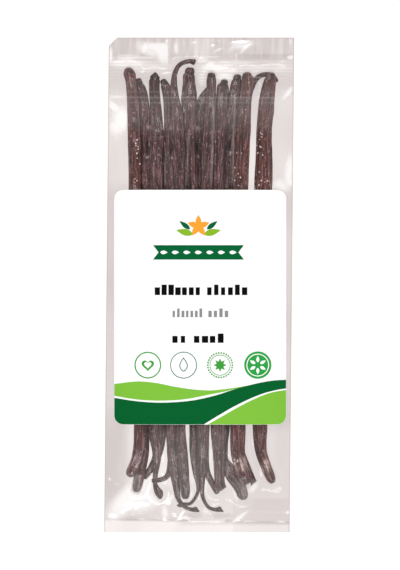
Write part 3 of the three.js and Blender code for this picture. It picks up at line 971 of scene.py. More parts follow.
def back_film():
    """Back sheet of the same film, flat on the table, where its gloss doesn't show."""
    material, tree = new_material("clear_polypropylene_back")
    tinted = add_node(tree, "ShaderNodeAttribute", "Fac", attribute_name="tint")
    tint = add_node(
        tree, "ShaderNodeMix", "Result",
        {"Factor": tinted, "A": hex_colour("#FAF7F6"), "B": hex_colour("#B3ABA9")},
        data_type="RGBA",
    )
    through = add_node(tree, "ShaderNodeBsdfTransparent", "BSDF", {"Color": tint})
    gloss = add_node(
        tree, "ShaderNodeBsdfAnisotropic", "BSDF", {"Color": (1.0, 1.0, 1.0, 1.0), "Roughness": 0.1}
    )
    film = add_node(tree, "ShaderNodeMixShader", "Shader", {0: 0.02, 1: through, 2: gloss})
    add_node(tree, "ShaderNodeOutputMaterial", inputs={"Surface": film})
    return material


def weld_bead():
    """Cut and melted edge of the film: a thin line that lets less light through."""
    material, tree = new_material("melted_film_edge")
    through = add_node(tree, "ShaderNodeBsdfTransparent", "BSDF", {"Color": hex_colour("#DAD2D0")})
    gloss = add_node(
        tree, "ShaderNodeBsdfPrincipled", "BSDF",
        {"Base Color": hex_colour("#CFC6C4"), "Roughness": 0.3},
    )
    edge = add_node(tree, "ShaderNodeMixShader", "Shader", {0: 0.45, 1: through, 2: gloss})
    add_node(tree, "ShaderNodeOutputMaterial", inputs={"Surface": edge})
    return material


def pile_from_pods():
    """Height field of the pods as they are meshed."""
    pile = np.zeros(FIELD_SHAPE)
    for name, _, _ in PODS:
        mesh = bpy.data.objects[name].data
        co = np.zeros(len(mesh.vertices) * 3)
        mesh.vertices.foreach_get("co", co)
        x, y, z = (co.reshape(-1, 3) / MM).T
        np.maximum.at(pile, field_cells(x, y), z)
    return np.maximum.reduce([pile, *neighbours(pile)])


def neighbours(field):
    """A field moved by one cell to each of the four sides."""
    return [np.roll(field, shift, (0, 1)) for shift in ((1, 0), (-1, 0), (0, 1), (0, -1))]


def smoothed(field, rounds):
    """A field blurred by so many rounds."""
    for _ in range(rounds):
        field = field / 2 + sum(neighbours(field)) / 8
    return field


def drape_film(pile, settings):
    """Stretches the film over the pile: level at the welds, and held to the label's back."""
    rows, columns = FIELD_SHAPE
    x = FIELD_LOW[0] + FIELD_CELL * np.arange(columns)[None, :] + np.zeros((rows, 1))
    y = FIELD_LOW[1] + FIELD_CELL * np.arange(rows)[:, None] + np.zeros((1, columns))
    welded = (y >= HEADER) | (y <= FOOT)
    welded |= (x <= left_edge(y) + FIELD_CELL) | (x >= right_edge(y) - FIELD_CELL)
    labelled = on_label(x, y, FIELD_CELL) & ~welded
    stuck = labelled & (inside_label_end(y) > LABEL_FREE_END)

    inside = np.minimum(x - left_edge(y), right_edge(y) - x)
    over_pods = ramp(inside, 4, 9) * ramp(HEADER - y, 0, 3) * ramp(y - FOOT, 2, 8)
    pull = settings.margin_cling + (settings.cling - settings.margin_cling) * over_pods
    pull *= FIELD_CELL**2 / 4
    floor = np.maximum(smoothed(pile, 3) + settings.clearance, settings.edge_height)
    height = floor.copy()
    height[welded] = settings.edge_height
    under_label = label_height(x, y) - LABEL_GAP - settings.label_thickness
    height[stuck] = under_label[stuck]
    ceiling = np.where(labelled, np.maximum(under_label, floor), np.inf)
    free = ~(welded | stuck)
    free[[0, -1]] = False
    free[:, [0, -1]] = False
    even = np.add.outer(np.arange(rows), np.arange(columns)) % 2 == 0
    for _ in range(DRAPE_ROUNDS):
        for turn in (free & even, free & ~even):
            around = height.copy()
            around[1:-1, 1:-1] = (
                height[:-2, 1:-1] + height[2:, 1:-1] + height[1:-1, :-2] + height[1:-1, 2:]
            ) / 4
            moved = height + OVER_RELAX * (around - pull - height)
            height[turn] = np.clip(moved, floor, ceiling)[turn]
    return height


# Creases of the film and lines of painted glare, as (x, y) to (x, y), half width, height and
# painted glare:
# white painted along a crease for the light that it reflects; the lines without height are painted
# sheen of the film along gaps between the pods and over the lower ends of pods.
CREASE_AND_GLARE_LINES = (
    ((-13.1, 100.2), (-13.1, 88.5), 0.3, 0.3, 0.9),
    ((14.9, 93.5), (14.9, 84.5), 0.3, 0.25, 0.5),
    ((-36, 77.9), (36, 77.6), 0.3, 0.08, 0.06),
    ((-36, 75.7), (36, 75.4), 0.3, 0.12, 0.1),
    ((-36, 73.5), (37, 73.4), 0.25, 0.08, 0.08),
    ((-31.6, -92.4), (-21, -92), 0.3, 0.1, 0.2),
    ((-21, -92), (-15.5, -94.4), 0.3, 0.1, 0.25),
    ((20, -91.8), (36.5, -91.9), 0.25, 0.05, 0.12),
    ((6.0, 72.7), (4.8, 40), 0.28, 0, 0.16),
    ((14.5, 76.8), (13.3, 40), 0.28, 0, 0.18),
    ((-13.4, 54.6), (-13.8, 40), 0.25, 0, 0.12),
    ((-4.1, 62.6), (-5.3, 40), 0.25, 0, 0.14),
    ((-25.2, -76), (-26.2, -88), 1.8, 0, 0.09),
    ((16.6, -78), (17.8, -91), 2.2, 0, 0.09),
)
# Places where the film is crumpled into soft humps that glint, and is painted white there as glare,
# as middle (x, y), half length, half width, turn of the long way in degrees, and painted glare.
CRUMPLES_AND_GLARE = (
    (-2.1, 97.9, 1.1, 0.4, 0, 0.8),
    (16.9, 97.9, 4.2, 0.8, 3, 0.95),
    (18.9, 95.9, 2.8, 0.7, 39, 0.85),
    (13.9, 96.6, 2.4, 0.5, 40, 0.65),
    (5.4, 96.6, 0.8, 0.6, 0, 0.7),
    (7.3, 94.6, 2.2, 0.4, 25, 0.35),
    (7.2, 87.5, 6.2, 1.7, 0, 0.9),
    (36.9, 98.4, 1.2, 0.5, 90, 0.6),
    (-22.8, 86.2, 0.9, 0.4, 0, 0.8),
    (-13.6, 85.6, 2.2, 0.4, 8, 0.8),
    (-33.3, 76.0, 3.5, 0.7, 0, 0.5),
    (35.9, 77.4, 2.7, 0.8, 51, 0.9),
    (36.3, 45.5, 5.0, 1.1, 82, 0.9),
    (36.6, 41.8, 2.6, 1.5, 90, 0.8),
    (-32.6, 64.9, 5.2, 2.6, 80, 0.85),
    (-33.6, 72.0, 4.2, 0.9, -41, 0.9),
    (-33.4, 59.3, 0.7, 0.6, 0, 0.6),
    (-29.4, -87.2, 9.5, 3.2, 44, 1.0),
    (-24.5, -86.0, 7.0, 3.6, 15, 0.75),
    (-23.0, -80.5, 4.5, 2.6, 60, 0.55),
    (-14.0, -91.9, 3.3, 1.2, 95, 0.9),
    (-11.2, -86.0, 4.2, 0.9, 49, 0.75),
    (-7.4, -93.1, 3.2, 0.8, 52, 0.9),
    (-3.9, -84.8, 3.0, 1.5, 80, 0.7),
    (14.7, -84.4, 3.0, 0.9, -75, 0.85),
    (21.9, -82.0, 2.6, 1.3, 60, 0.75),
    (16.3, -93.9, 3.7, 0.7, 36, 0.9),
    (35.9, -92.0, 0.8, 0.7, 0, 0.95),
)
# Smooth places of painted glare, each as a crumple: white painted into the film for broad
# reflections of the lights.
PAINTED_GLARE_PLACES = (
    (-28.4, -86.0, 12.2, 4.4, 46, 1.0),
    (-24.0, -87.5, 8.5, 4.6, 12, 0.85),
    (-22.0, -83.0, 6.0, 3.4, 60, 0.7),
    (-33.2, 63.8, 3.2, 3.0, 0, 0.9),
    (-31.3, 66.8, 3.6, 5.2, 0, 0.97),
    (-34.4, 71.4, 3.2, 1.0, -38, 0.95),
    (-19.4, 95.1, 6.4, 2.7, -20, 0.75),
    (-22.0, 95.8, 2.4, 1.8, 70, 1.0),
    (-16.6, 94.3, 2.8, 1.4, -40, 0.85),
    (-9.4, 95.8, 2.6, 0.9, 90, 0.75),
    (-35.8, 92.8, 3.6, 0.8, 90, 0.95),
    (-29.4, 92.7, 4.2, 0.6, 0, 0.45),
    (-29.0, 89.6, 8.5, 1.7, 0, 0.62),
    (-22.0, 88.0, 10.0, 1.7, 0, 0.3),
    (17.4, 97.0, 5.0, 1.5, 10, 0.7),
    (13.4, 95.6, 3.0, 1.0, 38, 0.35),
    (37.0, 92.0, 1.4, 0.9, 0, 0.85),
    (24.0, 87.4, 15.0, 1.8, 0, 0.3),
    (36.2, 45.4, 7.4, 1.7, 84, 0.9),
    (32.6, 39.6, 3.4, 3.0, 0, 0.8),
    (35.8, 77.6, 3.2, 1.1, 51, 0.7),
    (7.4, 87.2, 8.0, 2.8, 0, 0.5),
    (10.4, 84.2, 3.8, 1.7, 0, 0.7),
    (-25.6, 91.9, 11.0, 0.5, 0, 0.5),
    (3.4, 92.2, 5.4, 0.5, 0, 0.4),
    (0.9, 90.9, 3.0, 1.1, 0, 0.6),
    (4.6, 88.5, 2.4, 1.9, 0, 0.8),
    (1.2, 83.4, 1.8, 3.2, 0, 0.35),
    (13.6, 86.7, 2.2, 1.1, 0, 0.65),
    (13.0, 89.8, 9.0, 1.1, 0, 0.35),
)
# A crumple's rise over its half width, and the most that it rises.
CRUMPLE_SLOPE = 0.22
CRUMPLE_RISE = 0.4


def crease_relief_and_glare(x, y):
    """Height and painted glare that the creases and glare lines add to the film."""
    relief, haze = np.zeros_like(x), np.zeros_like(x)
    for (x0, y0), (x1, y1), half_width, height, painted_glare in CREASE_AND_GLARE_LINES:
        length = math.hypot(x1 - x0, y1 - y0)
        along = ((x - x0) * (x1 - x0) + (y - y0) * (y1 - y0)) / length
        aside = ((x - x0) * (y1 - y0) - (y - y0) * (x1 - x0)) / length
        fade = ramp(along, -1, 2) * ramp(length - along, -1, 2)
        line = fade * np.exp(-((aside / half_width) ** 2))
        relief += height * line
        # Painted glare along the line.
        haze += painted_glare * line
    return relief, haze


def round_place(x, y, place):
    """How far out places are in a long place's ellipse: 0 at its middle and 1 at its edge."""
    x0, y0, half_length, half_width, turn, _ = place
    c, s = math.cos(math.radians(turn)), math.sin(math.radians(turn))
    along = ((x - x0) * c + (y - y0) * s) / half_length
    aside = ((y - y0) * c - (x - x0) * s) / half_width
    return np.hypot(along, aside)


def crumple_relief_and_glare(x, y):
    """Height and painted glare that the crumples add to the film: soft humps with uneven edges,
    painted white over them, over the places of painted glare and over a fold of the header.
    """
    relief, haze = np.zeros_like(x), np.zeros_like(x)
    uneven = 1 + 0.2 * plane_noise(x, y, *RAGGED_EDGES)
    for place in CRUMPLES_AND_GLARE:
        half_width, painted_glare = place[3], place[5]
        hump = np.exp(-((uneven * round_place(x, y, place)) ** 3))
        relief = np.maximum(relief, min(CRUMPLE_SLOPE * half_width, CRUMPLE_RISE) * hump)
        # Painted glare over the hump.
        haze = np.maximum(haze, painted_glare * hump)
    for place in PAINTED_GLARE_PLACES:
        haze = np.maximum(haze, place[5] * np.exp(-(round_place(x, y, place) ** 4)))
    # Painted glare on a fold of the header: white up to its sharp edge, fading to the other side.
    slanted = x + 0.9 * (y - 94) + 1.6 * plane_noise(x, y, *RAGGED_FOLD)
    fold_glare = ramp(slanted, -21.5, -16) * ramp(x, -12.5, -12.9) * ramp(y, 87, 93) * ramp(y, 98.6, 97)
    return relief, np.maximum(haze, 0.95 * fold_glare)


def ribs(x, y, settings):
    """Fine level ribs below the header, pressed deeper in some places: height, and painted glare
    along their crests.
    """
    ribbed = places_sum(RIBBED_PLACES, {"y": y})
    depth = 0.14 + 0.2 * plane_noise(x, y, *RIB_DEPTH)
    for px, py, reach_x, reach_y in DEEP_RIBS:
        depth += np.exp(-(((x - px) / reach_x) ** 2) - ((y - py) / reach_y) ** 2)
    wobble = 0.3 * plane_noise(x, y, *RIB_WOBBLE)
    wave = np.sin(2 * math.pi * (y + wobble) / RIB_SPACING)
    height = settings.rib_height * ribbed * np.clip(depth, 0.1, 1.3) * wave
    # Painted glare: white along the crest of each rib.
    return height, 0.22 * ribbed * (0.5 + 0.5 * wave) ** 2


def film_relief(x, y, settings):
    """Waves and wrinkles of the front film."""
    header = ramp(y, RIBS_TOP - 1, RIBS_TOP + 2)
    waves = plane_noise(x, y, *HEADER_WAVES) + 0.2 * plane_noise(x, y, *HEADER_WRINKLES)
    at_foot = 0.2 * ramp(y, -57, -62) * plane_noise(x + 0.5 * y, y, *FOOT_WRINKLES)
    over_pods = 0.08 * ramp(y, 39, 45) * (1 - header) * plane_noise(x, y, *BODY_WRINKLES)
    return settings.header_wave * header * waves + at_foot + over_pods


def seal_height(x):
    """Where the foot's weld begins."""
    return SEAL_START - SEAL_SLANT * x


def film_tint(x, y):
    """How dark the film's tint is, from 0 to 1: darker across the header's weld, paler at the foot,
    and set paler over the pods and darker above the foot's weld as painted light and shade.
    """
    over_seal = y - seal_height(x)
    inside = np.minimum(x - left_edge(y), right_edge(y) - x)
    tint = 0.36 + 0.06 * plane_noise(x, y, *TINT_CLOUDS)
    tint += 0.1 * ramp(y, 91, 92.5) * plane_noise(x, y, *HEADER_STREAKS)
    tint += places_sum(TINTED_PLACES, {"x": x, "y": y, "in": inside, "seal": over_seal})
    tint += 0.2 * np.exp(-((over_seal / 0.4) ** 2))
    pale_foot = np.maximum(ramp(x, -5, -11), 0.75 * ramp(y, -96.7, -97.4))
    return np.clip(tint - 0.22 * pale_foot * ramp(over_seal, 0, -0.6), 0, 1)


def film_gloss(x, y, pile, pods_below):
    """Light that the film reflects, seen squarely: less over the pods and between them."""
    among_pods = read_field(smoothed(pile, 60), x, y) * ramp(y, 30, 45)
    dulled = ramp(np.maximum(pods_below, among_pods), 0.3, 0.8)
    dulled = np.maximum(dulled, places_sum(DULLED_PLACES, {"x": x, "y": y}))
    return FILM_GLOSS - (FILM_GLOSS - WETTED_GLOSS) * dulled


def film_grid():
    """Places of the film's corners: x and y for each row and column."""
    rows = [np.array([-TOP, WELD_BEAD - TOP])]
    for end, step in FILM_ROWS:
        start = rows[-1][-1]
        end = min(end, TOP - WELD_BEAD)
        rows.append(np.linspace(start, end, round((end - start) / step) + 1)[1:])
    y = np.concatenate([*rows, [TOP]])
    left, right = left_edge(y)[:, None], right_edge(y)[:, None]
    share = np.linspace(0, 1, round(BAG_WIDTH / FILM_COLUMN))
    inner = left + WELD_BEAD + (right - left - 2 * WELD_BEAD) * share
    x = np.hstack([left, inner, right])
    return x, np.repeat(y[:, None], x.shape[1], axis=1)


def bag_faces(rows, columns):
    """Faces of the front sheet, the back sheet and the wall round them, and the finish of each."""
    at = np.arange(rows * columns).reshape(rows, columns)
    a, b, c, d = at[:-1, :-1], at[:-1, 1:], at[1:, 1:], at[1:, :-1]
    sheet = np.stack([a, b, c, d], axis=-1).reshape(-1, 4)
    under = sheet[:, ::-1] + rows * columns
    loop = np.concatenate([at[0, :-1], at[:-1, -1], at[-1, :0:-1], at[:0:-1, 0]])
    beyond = np.roll(loop, -1)
    wall = np.column_stack([loop, loop + rows * columns, beyond + rows * columns, beyond])
    front = np.full((rows - 1, columns - 1), FRONT_FINISH)
    front[-1] = EDGE_FINISH
    front[:, [0, -1]] = EDGE_FINISH
    finish = [front.ravel(), np.full(len(under), BACK_FINISH), np.full(len(wall), EDGE_FINISH)]
    return np.vstack([sheet, under, wall]).tolist(), np.concatenate(finish)


class DrapeFilm(bpy.types.Operator):
    """Drapes the clear film over the pods and welds it to the back sheet"""

    bl_idname = "packet.drape_film"
    bl_label = "Drape film"

    def execute(self, context):
        settings = context.scene.vanilla_packet.film
        pile = pile_from_pods()
        x, y = film_grid()
        front = read_field(drape_film(pile, settings), x, y)
        pods_below = read_field(smoothed(pile, 2), x, y)
        contact = ramp(pods_below - front, -0.9, -0.25) * ramp(pods_below, 0.3, 0.8)
        to_edge = np.minimum.reduce([x - left_edge(y), right_edge(y) - x, TOP - y, y + TOP])

        rib_height, rib_glare = ribs(x, y, settings)
        crease_height, crease_glare = crease_relief_and_glare(x, y)
        crumple_height, crumple_glare = crumple_relief_and_glare(x, y)
        relief = film_relief(x, y, settings) + rib_height + crease_height + crumple_height
        relief *= ramp(to_edge, 0, 2.5) * (1 - 0.9 * contact) * ramp(y - seal_height(x), -0.5, 1)
        open_film = np.maximum(front + relief, pods_below + settings.clearance / 2)
        front = np.where(on_label(x, y, 0.5), front, open_film)
        front = np.maximum(front, settings.edge_height / 2)
        lifted = np.maximum(0, front - settings.edge_height - 0.1)
        back = np.where((y > HEADER) | (y < FOOT), BACK_HEIGHT + lifted, BACK_HEIGHT)
        back *= ramp(to_edge, 0, 1)

        sheets = [np.column_stack([x.ravel(), y.ravel(), z.ravel()]) for z in (front, back)]
        faces, finish = bag_faces(*x.shape)
        finishes = [clear_film(settings), weld_bead(), back_film()]
        film = smooth_object("film", np.vstack(sheets), faces, finishes)
        film.data.polygons.foreach_set("material_index", finish.astype(np.int32))
        film.data.set_sharp_from_angle(angle=math.radians(60))

        # White scatter of the film: painted glare of the creases, crumples and ribs, its faint
        # haze, and painted sheen over the pods.
        film_haze_and_glare = np.maximum(crease_glare, crumple_glare * (1 - contact))
        film_haze_and_glare += rib_glare * (1 - 0.95 * contact)
        film_haze_and_glare += settings.haze + places_sum(PAINTED_SHEEN_PLACES, {"x": x, "y": y})
        for name, values in (
            ("haze", np.clip(film_haze_and_glare, 0, 1)),
            ("tint", film_tint(x, y)),
            ("gloss", film_gloss(x, y, pile, pods_below)),
        ):
            store(film.data, name, np.tile(values.ravel(), len(sheets)))
        finish_piece(film, "bag")
        return {"FINISHED"}


# ---- Label ----
def coated_paper(name, colour, gloss):
    """Coated label paper, bare or printed: even colour, very fine grain, hardly any gloss."""
    material, tree = new_material(name)
    place = add_node(tree, "ShaderNodeTexCoord", "Object")
    # Paper grain of a third of a millimetre, as coarse as shows.
    grain = add_node(
        tree, "ShaderNodeTexNoise", "Fac", {"Vector": place, "Scale": 3000.0, "Detail": 2.0}
    )
    bump = add_node(
        tree, "ShaderNodeBump", "Normal", {"Height": grain, "Strength": 0.05, "Distance": 0.02 * MM}
    )
    worn = tuple(0.94 * part for part in colour)
    tone = add_node(
        tree, "ShaderNodeMix", "Result",
        {"Factor": grain, "A": (*colour, 1.0), "B": (*worn, 1.0)}, data_type="RGBA",
    )
    paper = add_node(
        tree, "ShaderNodeBsdfPrincipled", "BSDF",
        {"Base Color": tone, "Roughness": 0.6, "Specular IOR Level": gloss, "Normal": bump},
    )
    add_node(tree, "ShaderNodeOutputMaterial", inputs={"Surface": paper})
    return material


def bend_onto_label(mesh, x, y, lift):
    """Moves a flat mesh in millimetres to (x, y) and bends it round the label, in metres."""
    for vertex in mesh.vertices:
        place = vertex.co.x + x
        height = float(label_height(place, vertex.co.y + y)) + lift + vertex.co.z
        vertex.co = Vector((place, vertex.co.y + y, height)) * MM
    mesh.set_sharp_from_angle(angle=math.radians(40))
    mesh.update()


def slab(name, outlines, low, high, material):
    """A thin slab on the label inside closed outlines; an outline inside another is a hole."""
    curve = bpy.data.curves.new(name, "CURVE")
    curve.dimensions = "2D"
    curve.fill_mode = "BOTH"
    curve.extrude = (high - low) / 2
    for outline in outlines:
        spline = curve.splines.new("POLY")
        spline.points.add(len(outline) - 1)
        spline.points.foreach_set("co", [c for px, py in outline for c in (px, py, 0, 1)])
        spline.use_cyclic_u = True
    mesh = plain_mesh(bpy.data.objects.new(name, curve))
    bpy.data.curves.remove(curve)

    shape = bmesh.new()
    shape.from_mesh(mesh)
    bmesh.ops.remove_doubles(shape, verts=shape.verts, dist=0.001)
    across = np.arange(LABEL_BEND_FROM, LABEL_WIDTH / 2, LABEL_BEND_STEP)
    up = LABEL_LENGTH / 2 - np.arange(0.5, LABEL_END_REACH, LABEL_END_STEP)
    cuts = [(0, LABEL_X + side * distance) for side in (-1, 1) for distance in across]
    cuts += [(1, LABEL_Y + side * distance) for side in (-1, 1) for distance in up]
    for axis, cut in cuts:
        places = [vertex.co[axis] for vertex in shape.verts]
        if min(places) < cut < max(places):
            everything = [*shape.verts, *shape.edges, *shape.faces]
            normal = (1 - axis, axis, 0)
            bmesh.ops.bisect_plane(
                shape, geom=everything, dist=0.001, plane_co=[cut * n for n in normal],
                plane_no=normal,
            )
    bmesh.ops.recalc_face_normals(shape, faces=shape.faces)
    shape.to_mesh(mesh)
    shape.free()
    bend_onto_label(mesh, 0, 0, (low + high) / 2)
    mesh.materials.clear()
    mesh.materials.append(material)
    return link_mesh(name, mesh)


def arc(x, y, radius, start, end, count):
    """Places on an arc, with its angles in degrees."""
    angles = np.radians(np.linspace(start, end, count))
    return [(x + radius * math.cos(a), y + radius * math.sin(a)) for a in angles]


def rounded_rectangle(x, y, width, height, radius, count):
    """Outline of a rectangle round (x, y), with so many places on each of its corners."""
    across, up = width / 2 - radius, height / 2 - radius
    outline = []
    for turn, (side, end) in zip((0, 90, 180, 270), ((1, 1), (-1, 1), (-1, -1), (1, -1))):
        outline += arc(x + side * across, y + end * up, radius, turn, turn + 90, count)
    return outline


def leaf(x, y, angle, length, width):
    """Outline of a leaf from its stalk at (x, y): round near the stalk, pointed at its end."""
    share = np.linspace(0, 1, 17)
    half = width / 2 * np.sin(math.pi * share**0.8)
    side = np.concatenate([half, -half[-2:0:-1]])
    way = np.concatenate([share, share[-2:0:-1]]) * length
    turn = math.radians(angle)
    return [
        (x + w * math.cos(turn) - s * math.sin(turn), y + w * math.sin(turn) + s * math.cos(turn))
        for w, s in zip(way, side)
    ]


class CutLabel(bpy.types.Operator):
    """Cuts the paper label and bends it over the film"""

    bl_idname = "packet.cut_label"
    bl_label = "Cut label"

    def execute(self, context):
        packet = context.scene.vanilla_packet
        outline = rounded_rectangle(LABEL_X, LABEL_Y, LABEL_WIDTH, LABEL_LENGTH, LABEL_CORNER, 13)
        paper = coated_paper("coated_label_paper", packet.label.paper, 0.12)
        sheet = slab("label_sheet", [outline], -packet.film.label_thickness, 0, paper)
        finish_piece(sheet, "label")
        return {"FINISHED"}


# ---- Print: edges of the colour fields across the label ----
INK = 0.03
INK_GLOSS = 0.03
PRINT_MARGIN = 0.06
PALE_TOP = (
    (-34.3, -40.0), (-24.8, -38.9), (-17.3, -39.5), (-9.8, -41.0), (-3.2, -42.0), (3.8, -42.5),
    (10.8, -41.9), (20.3, -40.4),
)
PALE_FOOT = (
    (20.3, -40.4), (10.8, -42.8), (3.8, -44.2), (-5.6, -46.0), (-15, -46.6), (-24.8, -46.2),
    (-34.3, -44.8),
)
DARK_TOP = (
    (-34.3, -45.6), (-24.8, -46.9), (-15, -47.4), (-3.2, -46.6), (6.2, -44.6), (15.6, -41.6),
    (25, -39.3), (30.6, -38.5), (35.1, -38.3),
)
DARK_FOOT = (
    (35.1, -41.8), (30.6, -42.5), (25.9, -43.7), (20.3, -45.9), (13.2, -49.4), (6.2, -53.5),
    (1.8, -56.2),
)
GRASS_TOP = (
    (3.5, -56.2), (8.5, -53.4), (15.6, -49.3), (22.6, -45.8), (28.7, -43.5), (35.1, -42.4),
)


def field_outlines():
    """Outlines of the pale wave, the dark wave and the pale corner, inside the label's edge."""
    left = LABEL_LOW[0] + PRINT_MARGIN
    right = LABEL_HIGH[0] - PRINT_MARGIN
    foot = LABEL_LOW[1] + PRINT_MARGIN
    radius = LABEL_CORNER - PRINT_MARGIN

    def edge(points):
        placed = [(min(max(px, left), right), max(py, foot)) for px, py in points]
        return [(px, max(py, foot)) for px, py in smooth_line(placed, 1.0)[0]]

    foot_left = arc(left + radius, foot + radius, radius, 270, 180, 9)
    foot_right = arc(right - radius, foot + radius, radius, 270, 360, 9)
    pale = edge(PALE_TOP) + edge(PALE_FOOT)[1:]
    dark = edge(DARK_TOP) + edge(DARK_FOOT) + foot_left
    grass = edge(GRASS_TOP)[::-1] + foot_right
    return pale, dark, grass


class PrintFields(bpy.types.Operator):
    """Prints the fields of colour along the label's foot"""

    bl_idname = "packet.print_fields"
    bl_label = "Print fields"

    def execute(self, context):
        label = context.scene.vanilla_packet.label
        light = coated_paper("light_green_print", label.light_green, INK_GLOSS)
        dark = coated_paper("dark_green_print", label.dark_green, INK_GLOSS)
        pale_wave, dark_wave, grass = field_outlines()
        for name, outline, ink in (
            ("print_pale_wave", pale_wave, light),
            ("print_dark_wave", dark_wave, dark),
            ("print_pale_corner", grass, light),
        ):
            finish_piece(slab(name, [outline], 0, INK, ink))
        return {"FINISHED"}


# ---- Print: a blossom over a banner, mock lines of text, and four round badges ----
EMBLEM = (-0.3, 23.6)
# Length and width of the leaf shapes.
PETAL = (4.6, 2.3)
PALE_LEAF = (7.0, 2.6)
DARK_LEAF = (5.4, 1.9)
BANNER_CUT = (3.0, 1.5)
BANNER = (-0.3, 13.1, 36.6, 5.8)
BANNER_NOTCH = 2.2
BANNER_CUTS = 7
# Mock lines: name, left end, foot, pitch of the blocks, their number, width and full height, ink.
MOCK_WORDS = (
    ("title_left", -17.9, -4.1, 2.75, 7, 2.2, 4.2, "black_print"),
    ("title_right", 3.2, -4.1, 2.8, 6, 2.25, 4.2, "black_print"),
    ("name_left", -10.7, -13.0, 1.8, 7, 1.2, 3.5, "grey_print"),
    ("name_right", 3.7, -13.0, 2.2, 4, 1.4, 3.5, "grey_print"),
    ("count_left", -10.8, -23.3, 3.4, 2, 2.3, 3.7, "black_print"),
    ("count_right", -2.1, -23.3, 3.2, 4, 2.5, 3.7, "black_print"),
)
BADGE_HEIGHT = -32.3
BADGE_PLACES = (-20.7, -6.3, 8.4, 23.6)
BADGE_RADIUS = 5.4
BADGE_DOTS = 30


def circle(x, y, radius, count=48):
    """Places all round a circle."""
    return arc(x, y, radius, 0, 360 * (1 - 1 / count), count)


def emblem_outlines():
    """Petals of the blossom, its pale and its dark leaves, and the banner with cuts along it."""
    x, y = EMBLEM
    petals = [leaf(x, y, angle, *PETAL) for angle in range(90, 450, 72)]
    pale = [leaf(x + 2.2 * side, y - 3.2, 90 - 76 * side, *PALE_LEAF) for side in (-1, 1)]
    dark = [leaf(x + 3.4 * side, y - 1.2, 90 - 52 * side, *DARK_LEAF) for side in (-1, 1)]
    middle, level, length, height = BANNER
    ends = []
    for side in (1, -1):
        end = middle + side * length / 2
        tail = [(end, level + side * height / 2), (end - side * BANNER_NOTCH, level)]
        ends += [*tail, (end, level - side * height / 2)]
    pitch = (length - 4 * BANNER_NOTCH) / (BANNER_CUTS - 1)
    first = middle - pitch * (BANNER_CUTS - 1) / 2
    cuts = [
        leaf(first + i * pitch - BANNER_CUT[0] / 2, level, 0, *BANNER_CUT)
        for i in range(BANNER_CUTS)
    ]
    return petals, pale, dark, [ends, *cuts]


def heart(x, y, size):
    """Outline of a heart as wide as twice its size."""
    turn = np.linspace(0, 2 * math.pi, 40, endpoint=False)
    up = (13 * np.cos(turn) - 5 * np.cos(2 * turn) - 2 * np.cos(3 * turn) - np.cos(4 * turn)) / 16
    return [(x + size * a, y + size * b) for a, b in zip(np.sin(turn) ** 3, up)]


def star(x, y, radius, points=8, waist=0.55):
    """Outline of a star with its inner corners at a share of the radius."""
    reach = [radius * (waist if i % 2 else 1) for i in range(2 * points)]
    turn = [math.pi * i / points for i in range(2 * points)]
    return [(x + r * math.sin(a), y + r * math.cos(a)) for r, a in zip(reach, turn)]


def badge_outlines():
    """Outlines of the badges: a heart, a drop, a star in dots, and a flower cut out of a disc."""
    y, r = BADGE_HEIGHT, BADGE_RADIUS
    first, second, third, fourth = BADGE_PLACES
    ring = [circle(first, y, r), circle(first, y, r - 0.5)]
    hearted = ring + [heart(first, y, 2.5), heart(first, y + 0.1, 1.5)]
    thin_ring = [circle(second, y, r), circle(second, y, r - 0.32)]
    drops = [leaf(second, y - 2.7, 90, 5.8, 3.4), leaf(second, y - 2.3, 90, 4.9, 2.7)]
    starred = [circle(third, y, r - 1.2), circle(third, y, r - 1.45), star(third, y, 2.7)]
    disc = [circle(fourth, y, r + 0.1), circle(fourth, y, r - 0.8), circle(fourth, y, r - 1.2)]
    for angle in range(30, 390, 60):
        c, s = math.cos(math.radians(angle)), math.sin(math.radians(angle))
        disc.append(leaf(fourth + 1.1 * c, y + 1.1 * s, angle, 2.6, 1.3))
    return hearted, thin_ring + drops, starred, disc


def mock_word_tree():
    """Blocks in a row, some of them tall, in place of the letters of a word."""
    tree, given = nodes_tree(
        "mock_word", "Count", "Seed", "Material", "Pitch", "Width", "Height", "Thickness"
    )
    offset = add_node(tree, "ShaderNodeCombineXYZ", "Vector", {"X": given["Pitch"]})
    row = add_node(
        tree, "GeometryNodeMeshLine", "Mesh",
        {"Count": given["Count"], "Offset": offset}, mode="OFFSET",
    )
    size = add_node(
        tree, "ShaderNodeCombineXYZ", "Vector",
        {"X": given["Width"], "Y": given["Height"], "Z": given["Thickness"]},
    )
    block = add_node(tree, "GeometryNodeMeshCube", "Mesh", {"Size": size})
    half = add_node(
        tree, "ShaderNodeVectorMath", "Vector", {0: size, "Scale": 0.5}, operation="SCALE"
    )
    standing = add_node(
        tree, "GeometryNodeTransform", "Geometry", {"Geometry": block, "Translation": half}
    )
    tall = add_node(
        tree, "FunctionNodeRandomValue", 3,
        {"Probability": 0.35, "Seed": given["Seed"]}, data_type="BOOLEAN",
    )
    height = add_node(
        tree, "GeometryNodeSwitch", "Output",
        {"Switch": tall, "False": 0.74, "True": 1.0}, input_type="FLOAT",
    )
    breadth = add_node(
        tree, "FunctionNodeRandomValue", 1,
        {2: 0.7, 3: 1.0, "Seed": given["Seed"]}, data_type="FLOAT",
    )
    scale = add_node(tree, "ShaderNodeCombineXYZ", "Vector", {"X": breadth, "Y": height, "Z": 1.0})
    word = add_node(
        tree, "GeometryNodeInstanceOnPoints", "Instances",
        {"Points": row, "Instance": standing, "Scale": scale},
    )
    close_tree(tree, word, given["Material"])
    return tree


